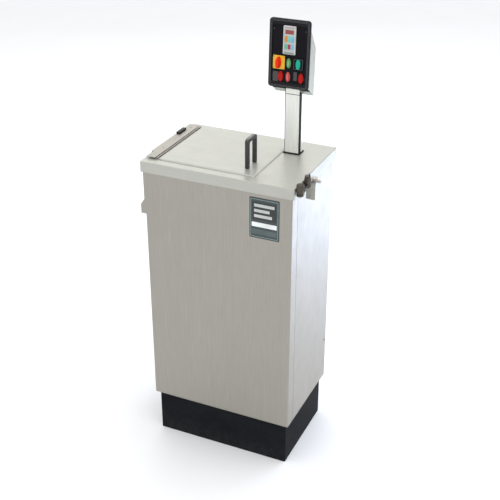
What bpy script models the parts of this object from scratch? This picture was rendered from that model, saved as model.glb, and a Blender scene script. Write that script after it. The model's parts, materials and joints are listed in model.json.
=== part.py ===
"""Parts washer tank: a stainless wash cabinet on a dark plinth, with a side-hinged lid and a control head.

Metres, +Z up, the front faces -Y. The origin is the centre of the plinth's underside.
"""

import math

import bmesh
import bpy
from mathutils import Matrix, Vector

# Driving dimensions
WIDTH = 0.500
DEPTH = 0.348
HEIGHT = 0.998
SHEET = 0.0015
WALL = 0.002
GAP = 0.0003
SKIRT = 0.034
BODY_INSET = 0.008
PLINTH_HEIGHT = 0.154
PLINTH_INSET = 0.012
CORNER_RETURN = 0.042

OPENING_X = (-0.194, 0.102)
OPENING_Y = (-0.130, 0.138)
LID_X = (-0.2064, 0.1135)
LID_Y = (-0.1425, 0.1505)
HINGE_X = -0.2095
HINGE_Z = HEIGHT + 0.003
KNUCKLE_R = 0.0026
PIN_R = 0.00125
KNUCKLES = 7

TANK_BOTTOM = 0.640
DRAIN_R = 0.016
HEATER_Z = 0.668

POST_X = 0.1418
POST_Y = 0.0832
POST_WIDTH = 0.0474
POST_DEPTH = 0.0358
POST_TOP = 1.300
HEAD_X = 0.1418
HEAD_Y = 0.0293
HEAD_Z = 1.217
HEAD_TILT = math.radians(3.07)
HEAD_WIDTH = 0.125
HEAD_HEIGHT = 0.1995

HANDLE_X = 0.070
HANDLE_Y = (-0.1034, -0.0398)
HANDLE_HEIGHT = 0.095
HANDLE_BAR = 0.012

KNOB = (0.2622, -0.160)
BOWL = (0.2605, -0.100)
SHAFT_SIDES = 20
FIT = 0.00008

BODY_X = WIDTH / 2 - BODY_INSET
BODY_Y = DEPTH / 2 - BODY_INSET
CORNER_Y = -BODY_Y + CORNER_RETURN
BODY_TOP = HEIGHT - SHEET - GAP


def clear_scene():
    for obj in list(bpy.data.objects):
        bpy.data.objects.remove(obj, do_unlink=True)


def material(name, colour, roughness, metallic=0.0):
    made = bpy.data.materials.new(name)
    made.use_nodes = True
    shader = made.node_tree.nodes["Principled BSDF"]
    shader.inputs["Base Color"].default_value = (*colour, 1.0)
    shader.inputs["Roughness"].default_value = roughness
    shader.inputs["Metallic"].default_value = metallic
    return made


def link(name, mesh, location, surface):
    obj = bpy.data.objects.new(name, mesh)
    obj.location = location
    bpy.context.scene.collection.objects.link(obj)
    if surface:
        mesh.materials.append(surface)
    else:
        obj.hide_render = True
        obj.display_type = "WIRE"
    return obj


def smooth(obj, degrees=35):
    obj.data.shade_smooth()
    obj.data.set_sharp_from_angle(angle=math.radians(degrees))
    return obj


def box(name, low, high, surface=None, origin=None):
    """A box between two corners, with its origin at its centre unless one is given."""
    low, high = Vector(low), Vector(high)
    origin = (low + high) / 2 if origin is None else Vector(origin)
    grid = bmesh.new()
    size = Matrix.Diagonal((*(high - low), 1))
    place = Matrix.Translation((low + high) / 2 - origin)
    bmesh.ops.create_cube(grid, size=1, matrix=place @ size)
    mesh = bpy.data.meshes.new(name)
    grid.to_mesh(mesh)
    grid.free()
    return link(name, mesh, origin, surface)


def prism(name, outline, axis, start, end, surface=None, origin=(0, 0, 0)):
    """An outline in the plane across one axis, extruded from start to end along it.

    The outline's two numbers are the other two axes in X, Y, Z order.
    """
    turn = {"X": (1, 2, 0), "Y": (0, 2, 1), "Z": (0, 1, 2)}[axis]
    origin = Vector(origin)

    def at(a, b, along):
        point = Vector((0, 0, 0))
        point[turn[0]], point[turn[1]], point[turn[2]] = a, b, along
        return point - origin

    grid = bmesh.new()
    bottom = [grid.verts.new(at(a, b, start)) for a, b in outline]
    top = [grid.verts.new(at(a, b, end)) for a, b in outline]
    grid.faces.new(bottom)
    grid.faces.new(top)
    for i in range(len(outline)):
        j = (i + 1) % len(outline)
        grid.faces.new((bottom[i], bottom[j], top[j], top[i]))
    bmesh.ops.recalc_face_normals(grid, faces=grid.faces)
    mesh = bpy.data.meshes.new(name)
    grid.to_mesh(mesh)
    grid.free()
    return link(name, mesh, origin, surface)


def ellipse(centre, radii, sides=SHAFT_SIDES):
    turns = [2 * math.pi * i / sides for i in range(sides)]
    return [(centre[0] + radii[0] * math.cos(t), centre[1] + radii[1] * math.sin(t)) for t in turns]


def rectangle(low, high):
    return [(low[0], low[1]), (high[0], low[1]), (high[0], high[1]), (low[0], high[1])]


def rounded(low, high, radius, steps=3):
    """A rectangle with round corners."""
    points = []
    corners = ((high[0], high[1], 0), (low[0], high[1], 90), (low[0], low[1], 180), (high[0], low[1], 270))
    for x, y, first in corners:
        cx = x - math.copysign(radius, x - (low[0] + high[0]) / 2)
        cy = y - math.copysign(radius, y - (low[1] + high[1]) / 2)
        for i in range(steps + 1):
            t = math.radians(first + 90 * i / steps)
            points.append((cx + radius * math.cos(t), cy + radius * math.sin(t)))
    return points


def cylinder(name, centre, radius, axis, start, end, surface=None, sides=SHAFT_SIDES, origin=None):
    """A round bar along an axis; centre is its other two coordinates in X, Y, Z order."""
    if origin is None:
        spot = list(centre)
        spot.insert("XYZ".index(axis), (start + end) / 2)
        origin = spot
    made = prism(name, ellipse(centre, (radius, radius), sides), axis, start, end, surface, origin)
    return smooth(made)


def turned(name, profile, axis, place, surface=None, sides=SHAFT_SIDES):
    """A closed profile of (radius, height) points turned about an axis through place.

    Points of zero radius lie on the axis.
    """
    grid = bmesh.new()
    rings = []
    for radius, height in profile:
        if radius == 0:
            rings.append([grid.verts.new((0, 0, height))])
            continue
        spots = ellipse((0, 0), (radius, radius), sides)
        rings.append([grid.verts.new((x, y, height)) for x, y in spots])
    for a, b in zip(rings, rings[1:] + rings[:1]):
        for i in range(sides):
            j = (i + 1) % sides
            corners = [a[i % len(a)], a[j % len(a)], b[j % len(b)], b[i % len(b)]]
            kept = list(dict.fromkeys(corners))
            if len(kept) > 2:
                grid.faces.new(kept)
    bmesh.ops.recalc_face_normals(grid, faces=grid.faces)
    turns = {
        "X": Matrix.Rotation(math.pi / 2, 4, "Y"), "Y": Matrix.Rotation(-math.pi / 2, 4, "X"), "Z": Matrix()
    }
    bmesh.ops.transform(grid, matrix=turns[axis], verts=grid.verts)
    mesh = bpy.data.meshes.new(name)
    grid.to_mesh(mesh)
    grid.free()
    return smooth(link(name, mesh, place, surface))


def tube(name, points, radius, surface=None, sides=8, bore=0.0):
    """A round rod, or with a bore a pipe, swept along points with its ends square to the path."""
    points = [Vector(p) for p in points]
    grid = bmesh.new()

    def sweep(size):
        rings = []
        side = None
        for i, point in enumerate(points):
            before = points[max(i - 1, 0)]
            after = points[min(i + 1, len(points) - 1)]
            forward = (after - before).normalized()
            if side is None:
                side = forward.orthogonal().normalized()
            side = (side - forward * side.dot(forward)).normalized()
            up = forward.cross(side)
            spots = ellipse((0, 0), (size, size), sides)
            rings.append([grid.verts.new(point + side * x + up * y) for x, y in spots])
        for a, b in zip(rings, rings[1:]):
            for i in range(sides):
                j = (i + 1) % sides
                grid.faces.new((a[i], a[j], b[j], b[i]))
        return rings

    outer = sweep(radius)
    if bore:
        inner = sweep(bore)
        for a, b in ((outer[0], inner[0]), (outer[-1], inner[-1])):
            for i in range(sides):
                j = (i + 1) % sides
                grid.faces.new((a[i], a[j], b[j], b[i]))
    else:
        grid.faces.new(outer[0])
        grid.faces.new(outer[-1])
    bmesh.ops.recalc_face_normals(grid, faces=grid.faces)
    mesh = bpy.data.meshes.new(name)
    grid.to_mesh(mesh)
    grid.free()
    return smooth(link(name, mesh, (0, 0, 0), surface))


def bend(points, radius, steps=3):
    """The points of a path with each inner corner rounded."""
    points = [Vector(p) for p in points]
    path = [points[0]]
    for before, corner, after in zip(points, points[1:], points[2:]):
        into = (before - corner).normalized()
        out = (after - corner).normalized()
        half = into.angle(out) / 2
        reach = radius / math.tan(half)
        centre = corner + (into + out).normalized() * (radius / math.sin(half))
        first = corner + into * reach - centre
        last = corner + out * reach - centre
        for i in range(steps + 1):
            path.append(centre + first.slerp(last, i / steps) * radius)
    path.append(points[-1])
    return path


def combine(obj, operation, others):
    for other in others:
        step = obj.modifiers.new(other.name, "BOOLEAN")
        step.operation = operation
        step.solver = "EXACT"
        step.object = other
        other.hide_render = True
        other.display_type = "WIRE"
    return obj


def cut(obj, *cutters):
    return combine(obj, "DIFFERENCE", cutters)


def join(obj, *others):
    return combine(obj, "UNION", others)


def soften(obj, width, segments=2, degrees=40):
    edge = obj.modifiers.new("edges", "BEVEL")
    edge.width = width
    edge.segments = segments
    edge.limit_method = "ANGLE"
    edge.angle_limit = math.radians(degrees)
    return obj


def attach(parent, *children):
    """Places children, modelled in the parent's own frame, under it."""
    for child in children:
        child.parent = parent


def make_plinth(dark):
    x, y = BODY_X - PLINTH_INSET, BODY_Y - PLINTH_INSET
    plinth = box("plinth", (-x, -y, 0), (x, y, PLINTH_HEIGHT - GAP), dark)
    soften(plinth, 0.003)
    inside = box(
        "plinth_inside", (-x + WALL, -y + WALL, 0.003), (x - WALL, y - WALL, PLINTH_HEIGHT - 0.004)
    )
    access = box("plinth_access", (-x + 0.02, -y + 0.02, 0.1), (x - 0.02, y - 0.02, 0.2))
    cut(plinth, inside, access)


def make_cabinet(steel):
    x, y, t = BODY_X, BODY_Y, SHEET
    z0, z1 = PLINTH_HEIGHT + WALL + GAP, BODY_TOP
    box("cabinet_floor", (-x, -y, PLINTH_HEIGHT), (x, y, PLINTH_HEIGHT + WALL), steel)

    front = rounded((-x, -y), (x, y), 0.004)
    shell = prism("front_panel", front, "Z", z0, z1, steel, (0, -y, (z0 + z1) / 2))
    cut(
        shell,
        box("front_inside", (-x + t, -y + t, 0), (x - t, y + 0.01, 2)),
        box("front_rear", (-1, CORNER_Y, 0), (1, 1, 2)),
    )
    smooth(shell)

    for side, name in ((-1, "left_side_panel"), (1, "right_side_panel")):
        skin = (CORNER_Y + 0.0012, y)
        outline = [
            (side * x, skin[0]),
            (side * x, skin[1]),
            (side * (x - 0.022), skin[1]),
            (side * (x - 0.022), skin[1] - t),
            (side * (x - t), skin[1] - t),
            (side * (x - t), skin[0]),
        ]
        prism(name, outline, "Z", z0, z1, steel, (side * x, 0.02, (z0 + z1) / 2))

    rx = x - 0.022 - GAP
    rear = box("rear_cover", (-rx, y - t, z0), (rx, y, z1), steel)
    slots = []
    for i in range(6):
        z = 0.30 + i * 0.022
        slots.append(box(f"louvre_{i}", (-0.09, y - 0.01, z), (0.09, y + 0.01, z + 0.008)))
    cut(rear, *slots, cylinder("drain_passage", (0.0, 0.215), 0.0105, "Y", y - 0.01, y + 0.01))


def make_worktop(steel):
    x, y, z, t = WIDTH / 2, DEPTH / 2, HEIGHT, SHEET
    top = prism("worktop_frame", rounded((-x, -y), (x, y), 0.004), "Z", z - SKIRT, z, steel, (0, 0, z))
    rim = rounded((-x + t, -y + t), (x - t, y - t), 0.0025)
    cut(
        top,
        prism("worktop_hollow", rim, "Z", z - 0.1, z - t),
        prism("worktop_opening", rounded(*corners(OPENING_X, OPENING_Y), 0.012), "Z", z - 0.1, z + 0.1),
    )
    soften(top, 0.0005, 1, 60)
    smooth(top)


def corners(span_x, span_y, grow=0.0):
    return (span_x[0] - grow, span_y[0] - grow), (span_x[1] + grow, span_y[1] + grow)


def make_lid(steel, rubber, black, hinge):
    z = HEIGHT + 0.0018
    plate = prism(
        "lid", rounded(*corners(LID_X, LID_Y), 0.003), "Z", z, z + SHEET, steel, (HINGE_X, 0, HINGE_Z)
    )
    x, y = LID_X, LID_Y
    hem = box("lid_hem", (x[0] + 0.014, y[0], HEIGHT + 0.0006), (x[1], y[1], z + 0.0005))
    hem_inside = box("lid_hem_inside", (x[0] + 0.010, y[0] + SHEET, 0.9), (x[1] - SHEET, y[1] - SHEET, z))
    cut(hem, hem_inside)
    flange = prism(
        "lid_flange", rounded(*corners(OPENING_X, OPENING_Y, -0.0045), 0.010), "Z", z - 0.018, z + 0.0005
    )
    cut(flange, box("lid_flange_inside", *tray(OPENING_X, OPENING_Y, -0.0062, z - 0.1, z)))
    join(plate, hem, flange)

    seal = prism(
        "lid_gasket",
        rounded(*corners(OPENING_X, OPENING_Y, -0.0004), 0.0115),
        "Z",
        HEIGHT - 0.008,
        HEIGHT - 0.0012,
        rubber,
        (HINGE_X, 0, HINGE_Z),
    )
    cut(
        seal,
        prism("gasket_inside", rounded(*corners(OPENING_X, OPENING_Y, -0.0042), 0.0103), "Z", 0.9, 1.1),
    )

    handle = make_handle(black, z + SHEET + GAP)
    leaf = make_hinge(steel)
    for obj in (plate, seal, handle, leaf):
        obj.parent = hinge
        obj.matrix_parent_inverse = Matrix.Translation(-Vector(hinge.location))


def tray(span_x, span_y, grow, bottom, top):
    low, high = corners(span_x, span_y, grow)
    return (*low, bottom), (*high, top)


def make_handle(black, base):
    y0, y1 = HANDLE_Y
    top = HEIGHT + HANDLE_HEIGHT
    half = HANDLE_BAR / 2
    outer = [(y0, base), (y0 + 0.001, top - 0.012), (y0 + 0.004, top - 0.004), (y0 + 0.012, top)]
    outer += [(y0 + y1 - a, b) for a, b in reversed(outer)]
    bar = prism(
        "lid_handle", outer, "X", HANDLE_X - half, HANDLE_X + half, black, (HANDLE_X, (y0 + y1) / 2, base)
    )
    inner = [
        (y0 + HANDLE_BAR, 0.9),
        (y0 + HANDLE_BAR + 0.001, top - 0.020),
        (y0 + HANDLE_BAR + 0.006, top - 0.0125),
    ]
    inner += [(y0 + y1 - a, b) for a, b in reversed(inner)]
    cut(bar, prism("handle_inside", inner, "X", HANDLE_X - 0.05, HANDLE_X + 0.05))
    return smooth(soften(bar, 0.0022, 2, 50))


def make_hinge(steel):
    """Fills the lid's edge with a piano hinge, and returns the leaf that moves with the lid."""
    start, end = LID_Y[0] + 0.002, LID_Y[1] - 0.002
    pitch = (end - start) / KNUCKLES
    leaves = []
    for first, name in ((0, "hinge_leaf_fixed"), (1, "hinge_leaf_lid")):
        side = 1 if first else -1
        low = HEIGHT + GAP
        reach = (HINGE_X + side * (KNUCKLE_R + GAP), HINGE_X + side * 0.013)
        leaf = box(
            name, (min(reach), start, low), (max(reach), end, low + 0.0012), steel, (HINGE_X, 0, HINGE_Z)
        )
        parts = []
        for i in range(first, KNUCKLES, 2):
            a, b = start + i * pitch + 0.0003, start + (i + 1) * pitch - 0.0003
            parts.append(
                cylinder(f"{name}_knuckle_{i}", (HINGE_X, HINGE_Z), KNUCKLE_R, "Y", a, b, sides=16)
            )
            root = (HINGE_X, HINGE_X + side * (KNUCKLE_R + 0.001))
            parts.append(box(f"{name}_root_{i}", (min(root), a, low), (max(root), b, low + 0.0012)))
        join(leaf, *parts)
        bore = PIN_R + 0.00006
        cut(leaf, cylinder(f"{name}_bore", (HINGE_X, HINGE_Z), bore, "Y", -0.3, 0.3, sides=16))
        leaves.append(smooth(leaf))
    cylinder("hinge_pin", (HINGE_X, HINGE_Z), PIN_R, "Y", start - 0.001, end + 0.001, steel, 16)
    return leaves[1]


def make_hinge_channel(steel, dark):
    """The folded cover along the left edge, open at its front end, and the dark block at its rear."""
    z, t = HEIGHT + GAP, 0.0012
    left, right = -WIDTH / 2 + 0.0006, HINGE_X - KNUCKLE_R - 0.0012
    y0, y1 = -0.1432, 0.1510
    outline = [
        (left, z),
        (left, z + 0.0058),
        (right, z + 0.0058),
        (right, z + 0.0046),
        (left + t, z + 0.0046),
        (left + t, z),
    ]
    channel = prism("hinge_channel", outline, "Y", y0, y1, steel, (left, 0, z))
    notch = box("channel_notch", (left - 0.01, y0 - 0.01, z - 0.01), (left + 0.006, -0.100, z + 0.05))
    foot = box("channel_foot", (left, -0.099, z), (left + 0.010, y1, z + t))
    join(cut(channel, notch), foot)
    block = box(
        "hinge_stop_block", (left, 0.0575, z + 0.0058 + GAP), (left + 0.013, 0.1035, z + 0.0112), dark
    )
    soften(block, 0.0012)


def make_tank(steel):
    low, high = corners(OPENING_X, OPENING_Y, 0.003)
    z0, z1 = TANK_BOTTOM, HEIGHT - SHEET - GAP
    centre = ((low[0] + high[0]) / 2, (low[1] + high[1]) / 2)
    tank = prism("inner_tank", rounded(low, high, 0.014), "Z", z0, z1, steel, (*centre, z0))
    rim = prism("tank_rim", rounded(*corners(OPENING_X, OPENING_Y, 0.012), 0.02), "Z", z1 - SHEET, z1)
    sump = basin("tank_sump", low, high, centre, z0 - 0.034, z0 + 0.001, 0.026)
    neck = cylinder("tank_neck", centre, DRAIN_R, "Z", z0 - 0.060, z0 - 0.030)
    join(tank, rim, sump, neck)
    t = WALL
    inner_low = (low[0] + t, low[1] + t)
    inner_high = (high[0] - t, high[1] - t)
    hollow = prism("tank_hollow", rounded(inner_low, inner_high, 0.012), "Z", z0 + 0.002, z1 + 0.1)
    funnel = basin("tank_funnel", inner_low, inner_high, centre, z0 - 0.032, z0 + 0.003, 0.024)
    drain = cylinder("tank_drain", centre, DRAIN_R - t, "Z", z0 - 0.1, z0)
    back = high[1]
    ports = [
        cylinder("heater_port", (-0.040, HEATER_Z), 0.0105, "Y", back - 0.02, back + 0.02),
        cylinder("probe_port", (0.040, HEATER_Z), 0.0035, "Y", back - 0.02, back + 0.02),
        cylinder("fill_port", (0.100, 0.945), 0.0068, "X", high[0] - 0.02, high[0] + 0.02),
        cylinder("spray_port", (-0.080, 0.930), 0.0068, "X", high[0] - 0.02, high[0] + 0.02),
    ]
    cut(tank, hollow, funnel, drain, *ports)
    smooth(tank)
    return centre, back


def basin(name, low, high, centre, bottom, top, foot):
    """A four-sided funnel from the tank's plan down to a small square."""
    grid = bmesh.new()
    upper = [grid.verts.new((x, y, top)) for x, y in rectangle(low, high)]
    small = rectangle((centre[0] - foot, centre[1] - foot), (centre[0] + foot, centre[1] + foot))
    lower = [grid.verts.new((x, y, bottom)) for x, y in small]
    grid.faces.new(upper)
    grid.faces.new(lower)
    for i in range(4):
        j = (i + 1) % 4
        grid.faces.new((lower[i], lower[j], upper[j], upper[i]))
    bmesh.ops.recalc_face_normals(grid, faces=grid.faces)
    mesh = bpy.data.meshes.new(name)
    grid.to_mesh(mesh)
    grid.free()
    return link(name, mesh, (0, 0, 0), None)


def make_cradle(steel):
    """The frame inside the cabinet that carries the tank."""
    x, y = BODY_X - SHEET - GAP, BODY_Y - SHEET - GAP
    z = 0.600
    frame = box("tank_cradle", (-x, -y, z), (x, y, z + 0.020), steel)
    space = box("cradle_space", (-x + 0.060, -y + 0.020, z - 0.01), (x - 0.020, y - 0.020, z + 0.03))
    under = box("cradle_under", (-x + WALL, -y + WALL, z - 0.01), (x - WALL, y - WALL, z + 0.018))
    cut(frame, space, under)


def make_heater(centre, back, steel, copper):
    y0 = back + GAP
    z = HEATER_Z
    run = [
        (-0.046, y0, z),
        (-0.046, -0.095, z),
        (0.0, -0.095, z),
        (0.0, 0.090, z),
        (-0.034, 0.115, z),
        (-0.034, y0, z),
    ]
    tube("heater_element", bend(run, 0.008), 0.0033, copper)
    flange = [(0, 0), (0.020, 0), (0.020, 0.004), (0.0145, 0.004), (0.0145, 0.012), (0, 0.012)]
    turned("heater_flange", flange, "Y", (-0.040, y0 + GAP, z), steel)
    probe = [(0, 0), (0.009, 0), (0.009, -0.004), (0.003, -0.004), (0.003, -0.075), (0, -0.077)]
    turned("temperature_probe", probe, "Y", (0.040, y0 + 0.004, z), steel, 12)


def make_basket(centre, steel):
    """A sheet basket whose end walls rise to hand grips, and the two rails it stands on."""
    low = (centre[0] - 0.128, centre[1] - 0.112)
    high = (centre[0] + 0.128, centre[1] + 0.112)
    z0, z1 = 0.715, 0.800
    basket = prism("parts_basket", rounded(low, high, 0.004, 2), "Z", z0, z1, steel, (*centre, z0))
    t = 0.002
    for side, name in ((-1, "basket_grip_left"), (1, "basket_grip_right")):
        reach = (centre[0] + side * 0.128, centre[0] + side * (0.128 - t))
        y = centre[1]
        grip = box(name, (min(reach), y - 0.050, z1 - 0.005), (max(reach), y + 0.050, z1 + 0.045))
        slot = ((min(reach) - 0.01, y - 0.036, z1 + 0.012), (max(reach) + 0.01, y + 0.036, z1 + 0.034))
        cut(grip, box(f"{name}_slot", *slot))
        join(basket, grip)
    hollow = box("basket_hollow", (low[0] + t, low[1] + t, z0 + t), (high[0] - t, high[1] - t, 1))
    slots = []
    for i in range(7):
        x = centre[0] - 0.102 + i * 0.034
        slots.append(
            box(f"basket_slot_{i}", (x - 0.008, low[1] + 0.02, 0.6), (x + 0.008, high[1] - 0.02, z0 + 0.01))
        )
    cut(basket, hollow, *slots)
    wall = (OPENING_Y[1] - OPENING_Y[0]) / 2 + 0.003 - WALL - GAP
    top = z0 - GAP
    for side, name in ((-1, "basket_rail_front"), (1, "basket_rail_rear")):
        angle = [
            (0.100, top),
            (wall, top),
            (wall, top - 0.022),
            (wall - t, top - 0.022),
            (wall - t, top - t),
            (0.100, top - t),
        ]
        outline = [(centre[1] + side * a, b) for a, b in angle]
        prism(name, outline, "X", centre[0] - 0.134, centre[0] + 0.134, steel, (centre[0], centre[1], top))


def make_plumbing(centre, steel, brass, plastic, black):
    cx, cy = centre
    neck = TANK_BOTTOM - 0.060
    turned(
        "drain_cup",
        [
            (0.0075, -0.022),
            (0.0125, -0.022),
            (0.0195, 0),
            (0.0195, 0.020),
            (0.0163, 0.020),
            (0.0163, 0),
            (0.0075, -0.004),
        ],
        "Z",
        (cx, cy, neck - 0.0003),
        brass,
    )
    tee_z = neck - 0.0226
    y_end = BODY_Y - 0.006
    tube(
        "drain_pipe",
        bend([(cx, cy, tee_z), (cx, cy, 0.215), (0.0, cy, 0.215), (0.0, y_end, 0.215)], 0.020),
        0.010,
        steel,
        8,
        0.0085,
    )
    body = turned(
        "drain_valve_body",
        [
            (0.0075, 0),
            (0.0175, 0),
            (0.0175, 0.016),
            (0.0145, 0.020),
            (0.0145, 0.030),
            (0.0175, 0.034),
            (0.0175, 0.048),
            (0.0075, 0.048),
        ],
        "Y",
        (0.0, BODY_Y + 0.0003 + GAP, 0.215),
        brass,
        48,
    )
    stem_y = BODY_Y + 0.0253
    join(body, cylinder("drain_valve_boss", (0.0, stem_y), 0.0075, "Z", 0.222, 0.238))
    cut(body, cylinder("drain_stem_bore", (0.0, stem_y), 0.0030 + FIT, "Z", 0.228, 0.25))
    lever = cylinder(
        "drain_valve_lever", (0.0, stem_y), 0.0030, "Z", 0.2285, 0.243, black, origin=(0, stem_y, 0.24)
    )
    join(lever, box("drain_grip", (-0.005, stem_y - 0.005, 0.2395), (0.052, stem_y + 0.005, 0.243)))

    base = PLINTH_HEIGHT + WALL + GAP
    px, py = 0.120, -0.060
    feet = base + 0.012
    volute = turned(
        "pump_body",
        [
            (0.0105, 0.040),
            (0.034, 0.040),
            (0.034, 0),
            (0, 0),
            (0, 0.004),
            (0.030, 0.004),
            (0.030, 0.036),
            (0.0105, 0.036),
        ],
        "Z",
        (px, py, feet),
        plastic,
    )
    join(
        volute,
        box("pump_foot", (px - 0.044, py - 0.030, base), (px + 0.044, py + 0.030, feet + 0.003)),
        cylinder("pump_outlet_boss", (py, feet + 0.020), 0.010, "X", px + 0.030, px + 0.050),
        cylinder("pump_inlet_boss", (py, feet + 0.020), 0.010, "X", px - 0.055, px - 0.030),
    )
    cut(
        volute,
        cylinder("pump_outlet_bore", (py, feet + 0.020), 0.0075, "X", px + 0.020, px + 0.060),
        cylinder("pump_inlet_bore", (py, feet + 0.020), 0.0075, "X", px - 0.060, px - 0.020),
    )
    shaft = turned(
        "pump_impeller",
        [(0, 0.006), (0.024, 0.006), (0.024, 0.018), (0.004, 0.018), (0.004, 0.060), (0, 0.060)],
        "Z",
        (px, py, feet),
        plastic,
    )
    vanes = [box(f"vane_slot_{i}", (0.006, -0.0015, 0.009), (0.03, 0.0015, 0.03)) for i in range(6)]
    for i, vane in enumerate(vanes):
        vane.data.transform(Matrix.Translation(vane.location))
        vane.location = (px, py, feet)
        vane.rotation_euler = (0, 0, math.pi * i / 3)
    cut(shaft, *vanes)
    motor_z = feet + 0.040 + GAP
    turned(
        "pump_motor",
        [
            (0.004 + FIT, 0),
            (0.031, 0),
            (0.031, 0.095),
            (0.026, 0.100),
            (0, 0.100),
            (0, 0.024),
            (0.004 + FIT, 0.024),
        ],
        "Z",
        (px, py, motor_z),
        black,
    )

    inlet_x = px - 0.0553 - GAP
    z = feet + 0.020
    tube(
        "suction_pipe",
        bend(
            [(inlet_x, py, z), (inlet_x - 0.05, py, z), (inlet_x - 0.05, py, 0.300), (cx, py, 0.300)], 0.016
        )
        + [Vector((cx - 0.02, py, 0.300))],
        0.009,
        plastic,
        8,
        0.0072,
    )
    riser_x = 0.200
    tube(
        "delivery_pipe",
        bend(
            [
                (px + 0.0503 + GAP, py, z),
                (riser_x, py, z),
                (riser_x, -0.080, 0.34),
                (riser_x, -0.080, 0.930),
                (0.118, -0.080, 0.930),
            ],
            0.012,
        ),
        0.0065,
        plastic,
        8,
        0.005,
    )
    ring = bend(
        [(0.1167, -0.080, 0.930), (0.084, -0.080, 0.930), (0.084, -0.113, 0.930), (-0.170, -0.113, 0.930)],
        0.012,
    )
    tube("spray_manifold", ring, 0.0062, steel, 8, 0.0048)


def make_float_switch(steel, plastic):
    x, y = -0.172, 0.112
    stem = turned(
        "float_switch",
        [(0, 0), (0.0065, 0), (0.0065, 0.0026), (0.0025, 0.0026), (0.0025, 0.066), (0, 0.066)],
        "Z",
        (x, y, 0.850),
        steel,
    )
    join(
        stem,
        box("float_bracket", (x - 0.012, y - 0.012, 0.9143), (x + 0.012, 0.1387, 0.9163)),
        box("float_bracket_back", (x - 0.012, 0.1370, 0.890), (x + 0.012, 0.1387, 0.9163)),
    )
    turned(
        "level_float",
        [
            (0.0025 + FIT, 0.0),
            (0.0105, 0.0),
            (0.0125, 0.002),
            (0.0125, 0.020),
            (0.0105, 0.022),
            (0.0025 + FIT, 0.022),
        ],
        "Z",
        (x, y, 0.853),
        plastic,
    )


def make_overflow(steel):
    """The duct down the left side from the skirt, ending in a hood that faces down."""
    x = -BODY_X - GAP
    y0, y1 = -0.150, 0.010
    top = HEIGHT - SKIRT - 0.001
    duct = box("overflow_duct", (x - 0.013, y0, 0.862), (x, y1, top), steel)
    outline = [(x, 0.812), (x - 0.026, 0.812), (x - 0.026, 0.843), (x - 0.0128, 0.8617), (x, 0.8617)]
    hood = prism("overflow_hood", outline, "Y", y0, y1, steel, (x, y0, 0.84))
    inner = [
        (x - WALL, 0.80), (x - 0.024, 0.80), (x - 0.024, 0.8422), (x - 0.0122, 0.8592), (x - WALL, 0.8592)
    ]
    cut(hood, prism("hood_inside", inner, "Y", y0 + WALL, y1 - WALL))
    throat = box("hood_throat", (x - 0.0105, y0 + 0.003, 0.85), (x - 0.0025, y1 - 0.003, 0.87))
    cut(hood, throat)
    cut(duct, box("duct_inside", (x - 0.0110, y0 + WALL, 0.85), (x - WALL, y1 - WALL, top - WALL)))
    soften(duct, 0.0008, 1)


def make_fill_valve(bronze, steel, pale):
    """The tap on the right: a hand knob, a strainer bowl behind it, and the inlet behind a bracket."""
    kx, ky = KNOB
    bx, by = BOWL
    profile = [
        (0, 0),
        (0.0090, 0),
        (0.0105, 0.0015),
        (0.0105, 0.0060),
        (0.0085, 0.0075),
        (0.0085, 0.0095),
        (0, 0.0095),
    ]
    body = turned("fill_valve_body", profile, "Z", (kx, ky, 0.9745), bronze, 16)
    bowl = [
        (0, 0), (0.0075, 0), (0.0098, 0.0025), (0.0098, 0.028), (0.0086, 0.031), (0.0086, 0.037), (0, 0.037)
    ]
    join(
        body,
        turned("valve_bowl", bowl, "Z", (bx, by, 0.977), sides=16),
        tube("valve_barrel", [(kx, ky + 0.006, 0.9786), (bx, by - 0.003, 0.9848)], 0.0044),
        cylinder("valve_vent", (bx + 0.0035, by + 0.0050), 0.0016, "Z", 1.005, 1.0190, sides=8),
    )
    cut(body, cylinder("valve_stem_bore", KNOB, 0.0030 + FIT, "Z", 0.9760, 1.05))
    top = 0.9843
    grip = [(0, 0), (0.0100, 0), (0.0115, 0.0015), (0.0115, 0.0238), (0.0098, 0.0262), (0, 0.0262)]
    knob = turned("fill_valve_knob", grip, "Z", (kx, ky, top), bronze)
    join(knob, cylinder("valve_stem", KNOB, 0.0030, "Z", 0.9770, top + 0.005))

    x0 = WIDTH / 2 + GAP
    y = by + 0.0160
    outline = [
        (x0, y),
        (0.2790, y),
        (0.2790, y + SHEET),
        (x0 + SHEET, y + SHEET),
        (x0 + SHEET, y + 0.025),
        (x0, y + 0.025),
    ]
    prism("valve_bracket", outline, "Z", 0.9325, 0.9868, steel, (x0, y, 0.95))
    low = (0.2613, y + 0.0045, 0.9790)
    inlet = box("fill_inlet", low, (0.2792, y + 0.0235, 0.9976), pale)
    soften(inlet, 0.0012, 1)
    join(
        inlet, cylinder("inlet_link", (bx + 0.0045, 0.9925), 0.0034, "Y", by + 0.0102, y + 0.008, sides=12)
    )
    barbs = [
        (0.0022, 0),
        (0.0046, 0),
        (0.0052, 0.0045),
        (0.0044, 0.0048),
        (0.0050, 0.0092),
        (0.0040, 0.0120),
        (0.0022, 0.0120),
    ]
    turned("hose_tail", barbs, "X", (0.2795, y + 0.0140, 0.9880), bronze, 12)


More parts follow.
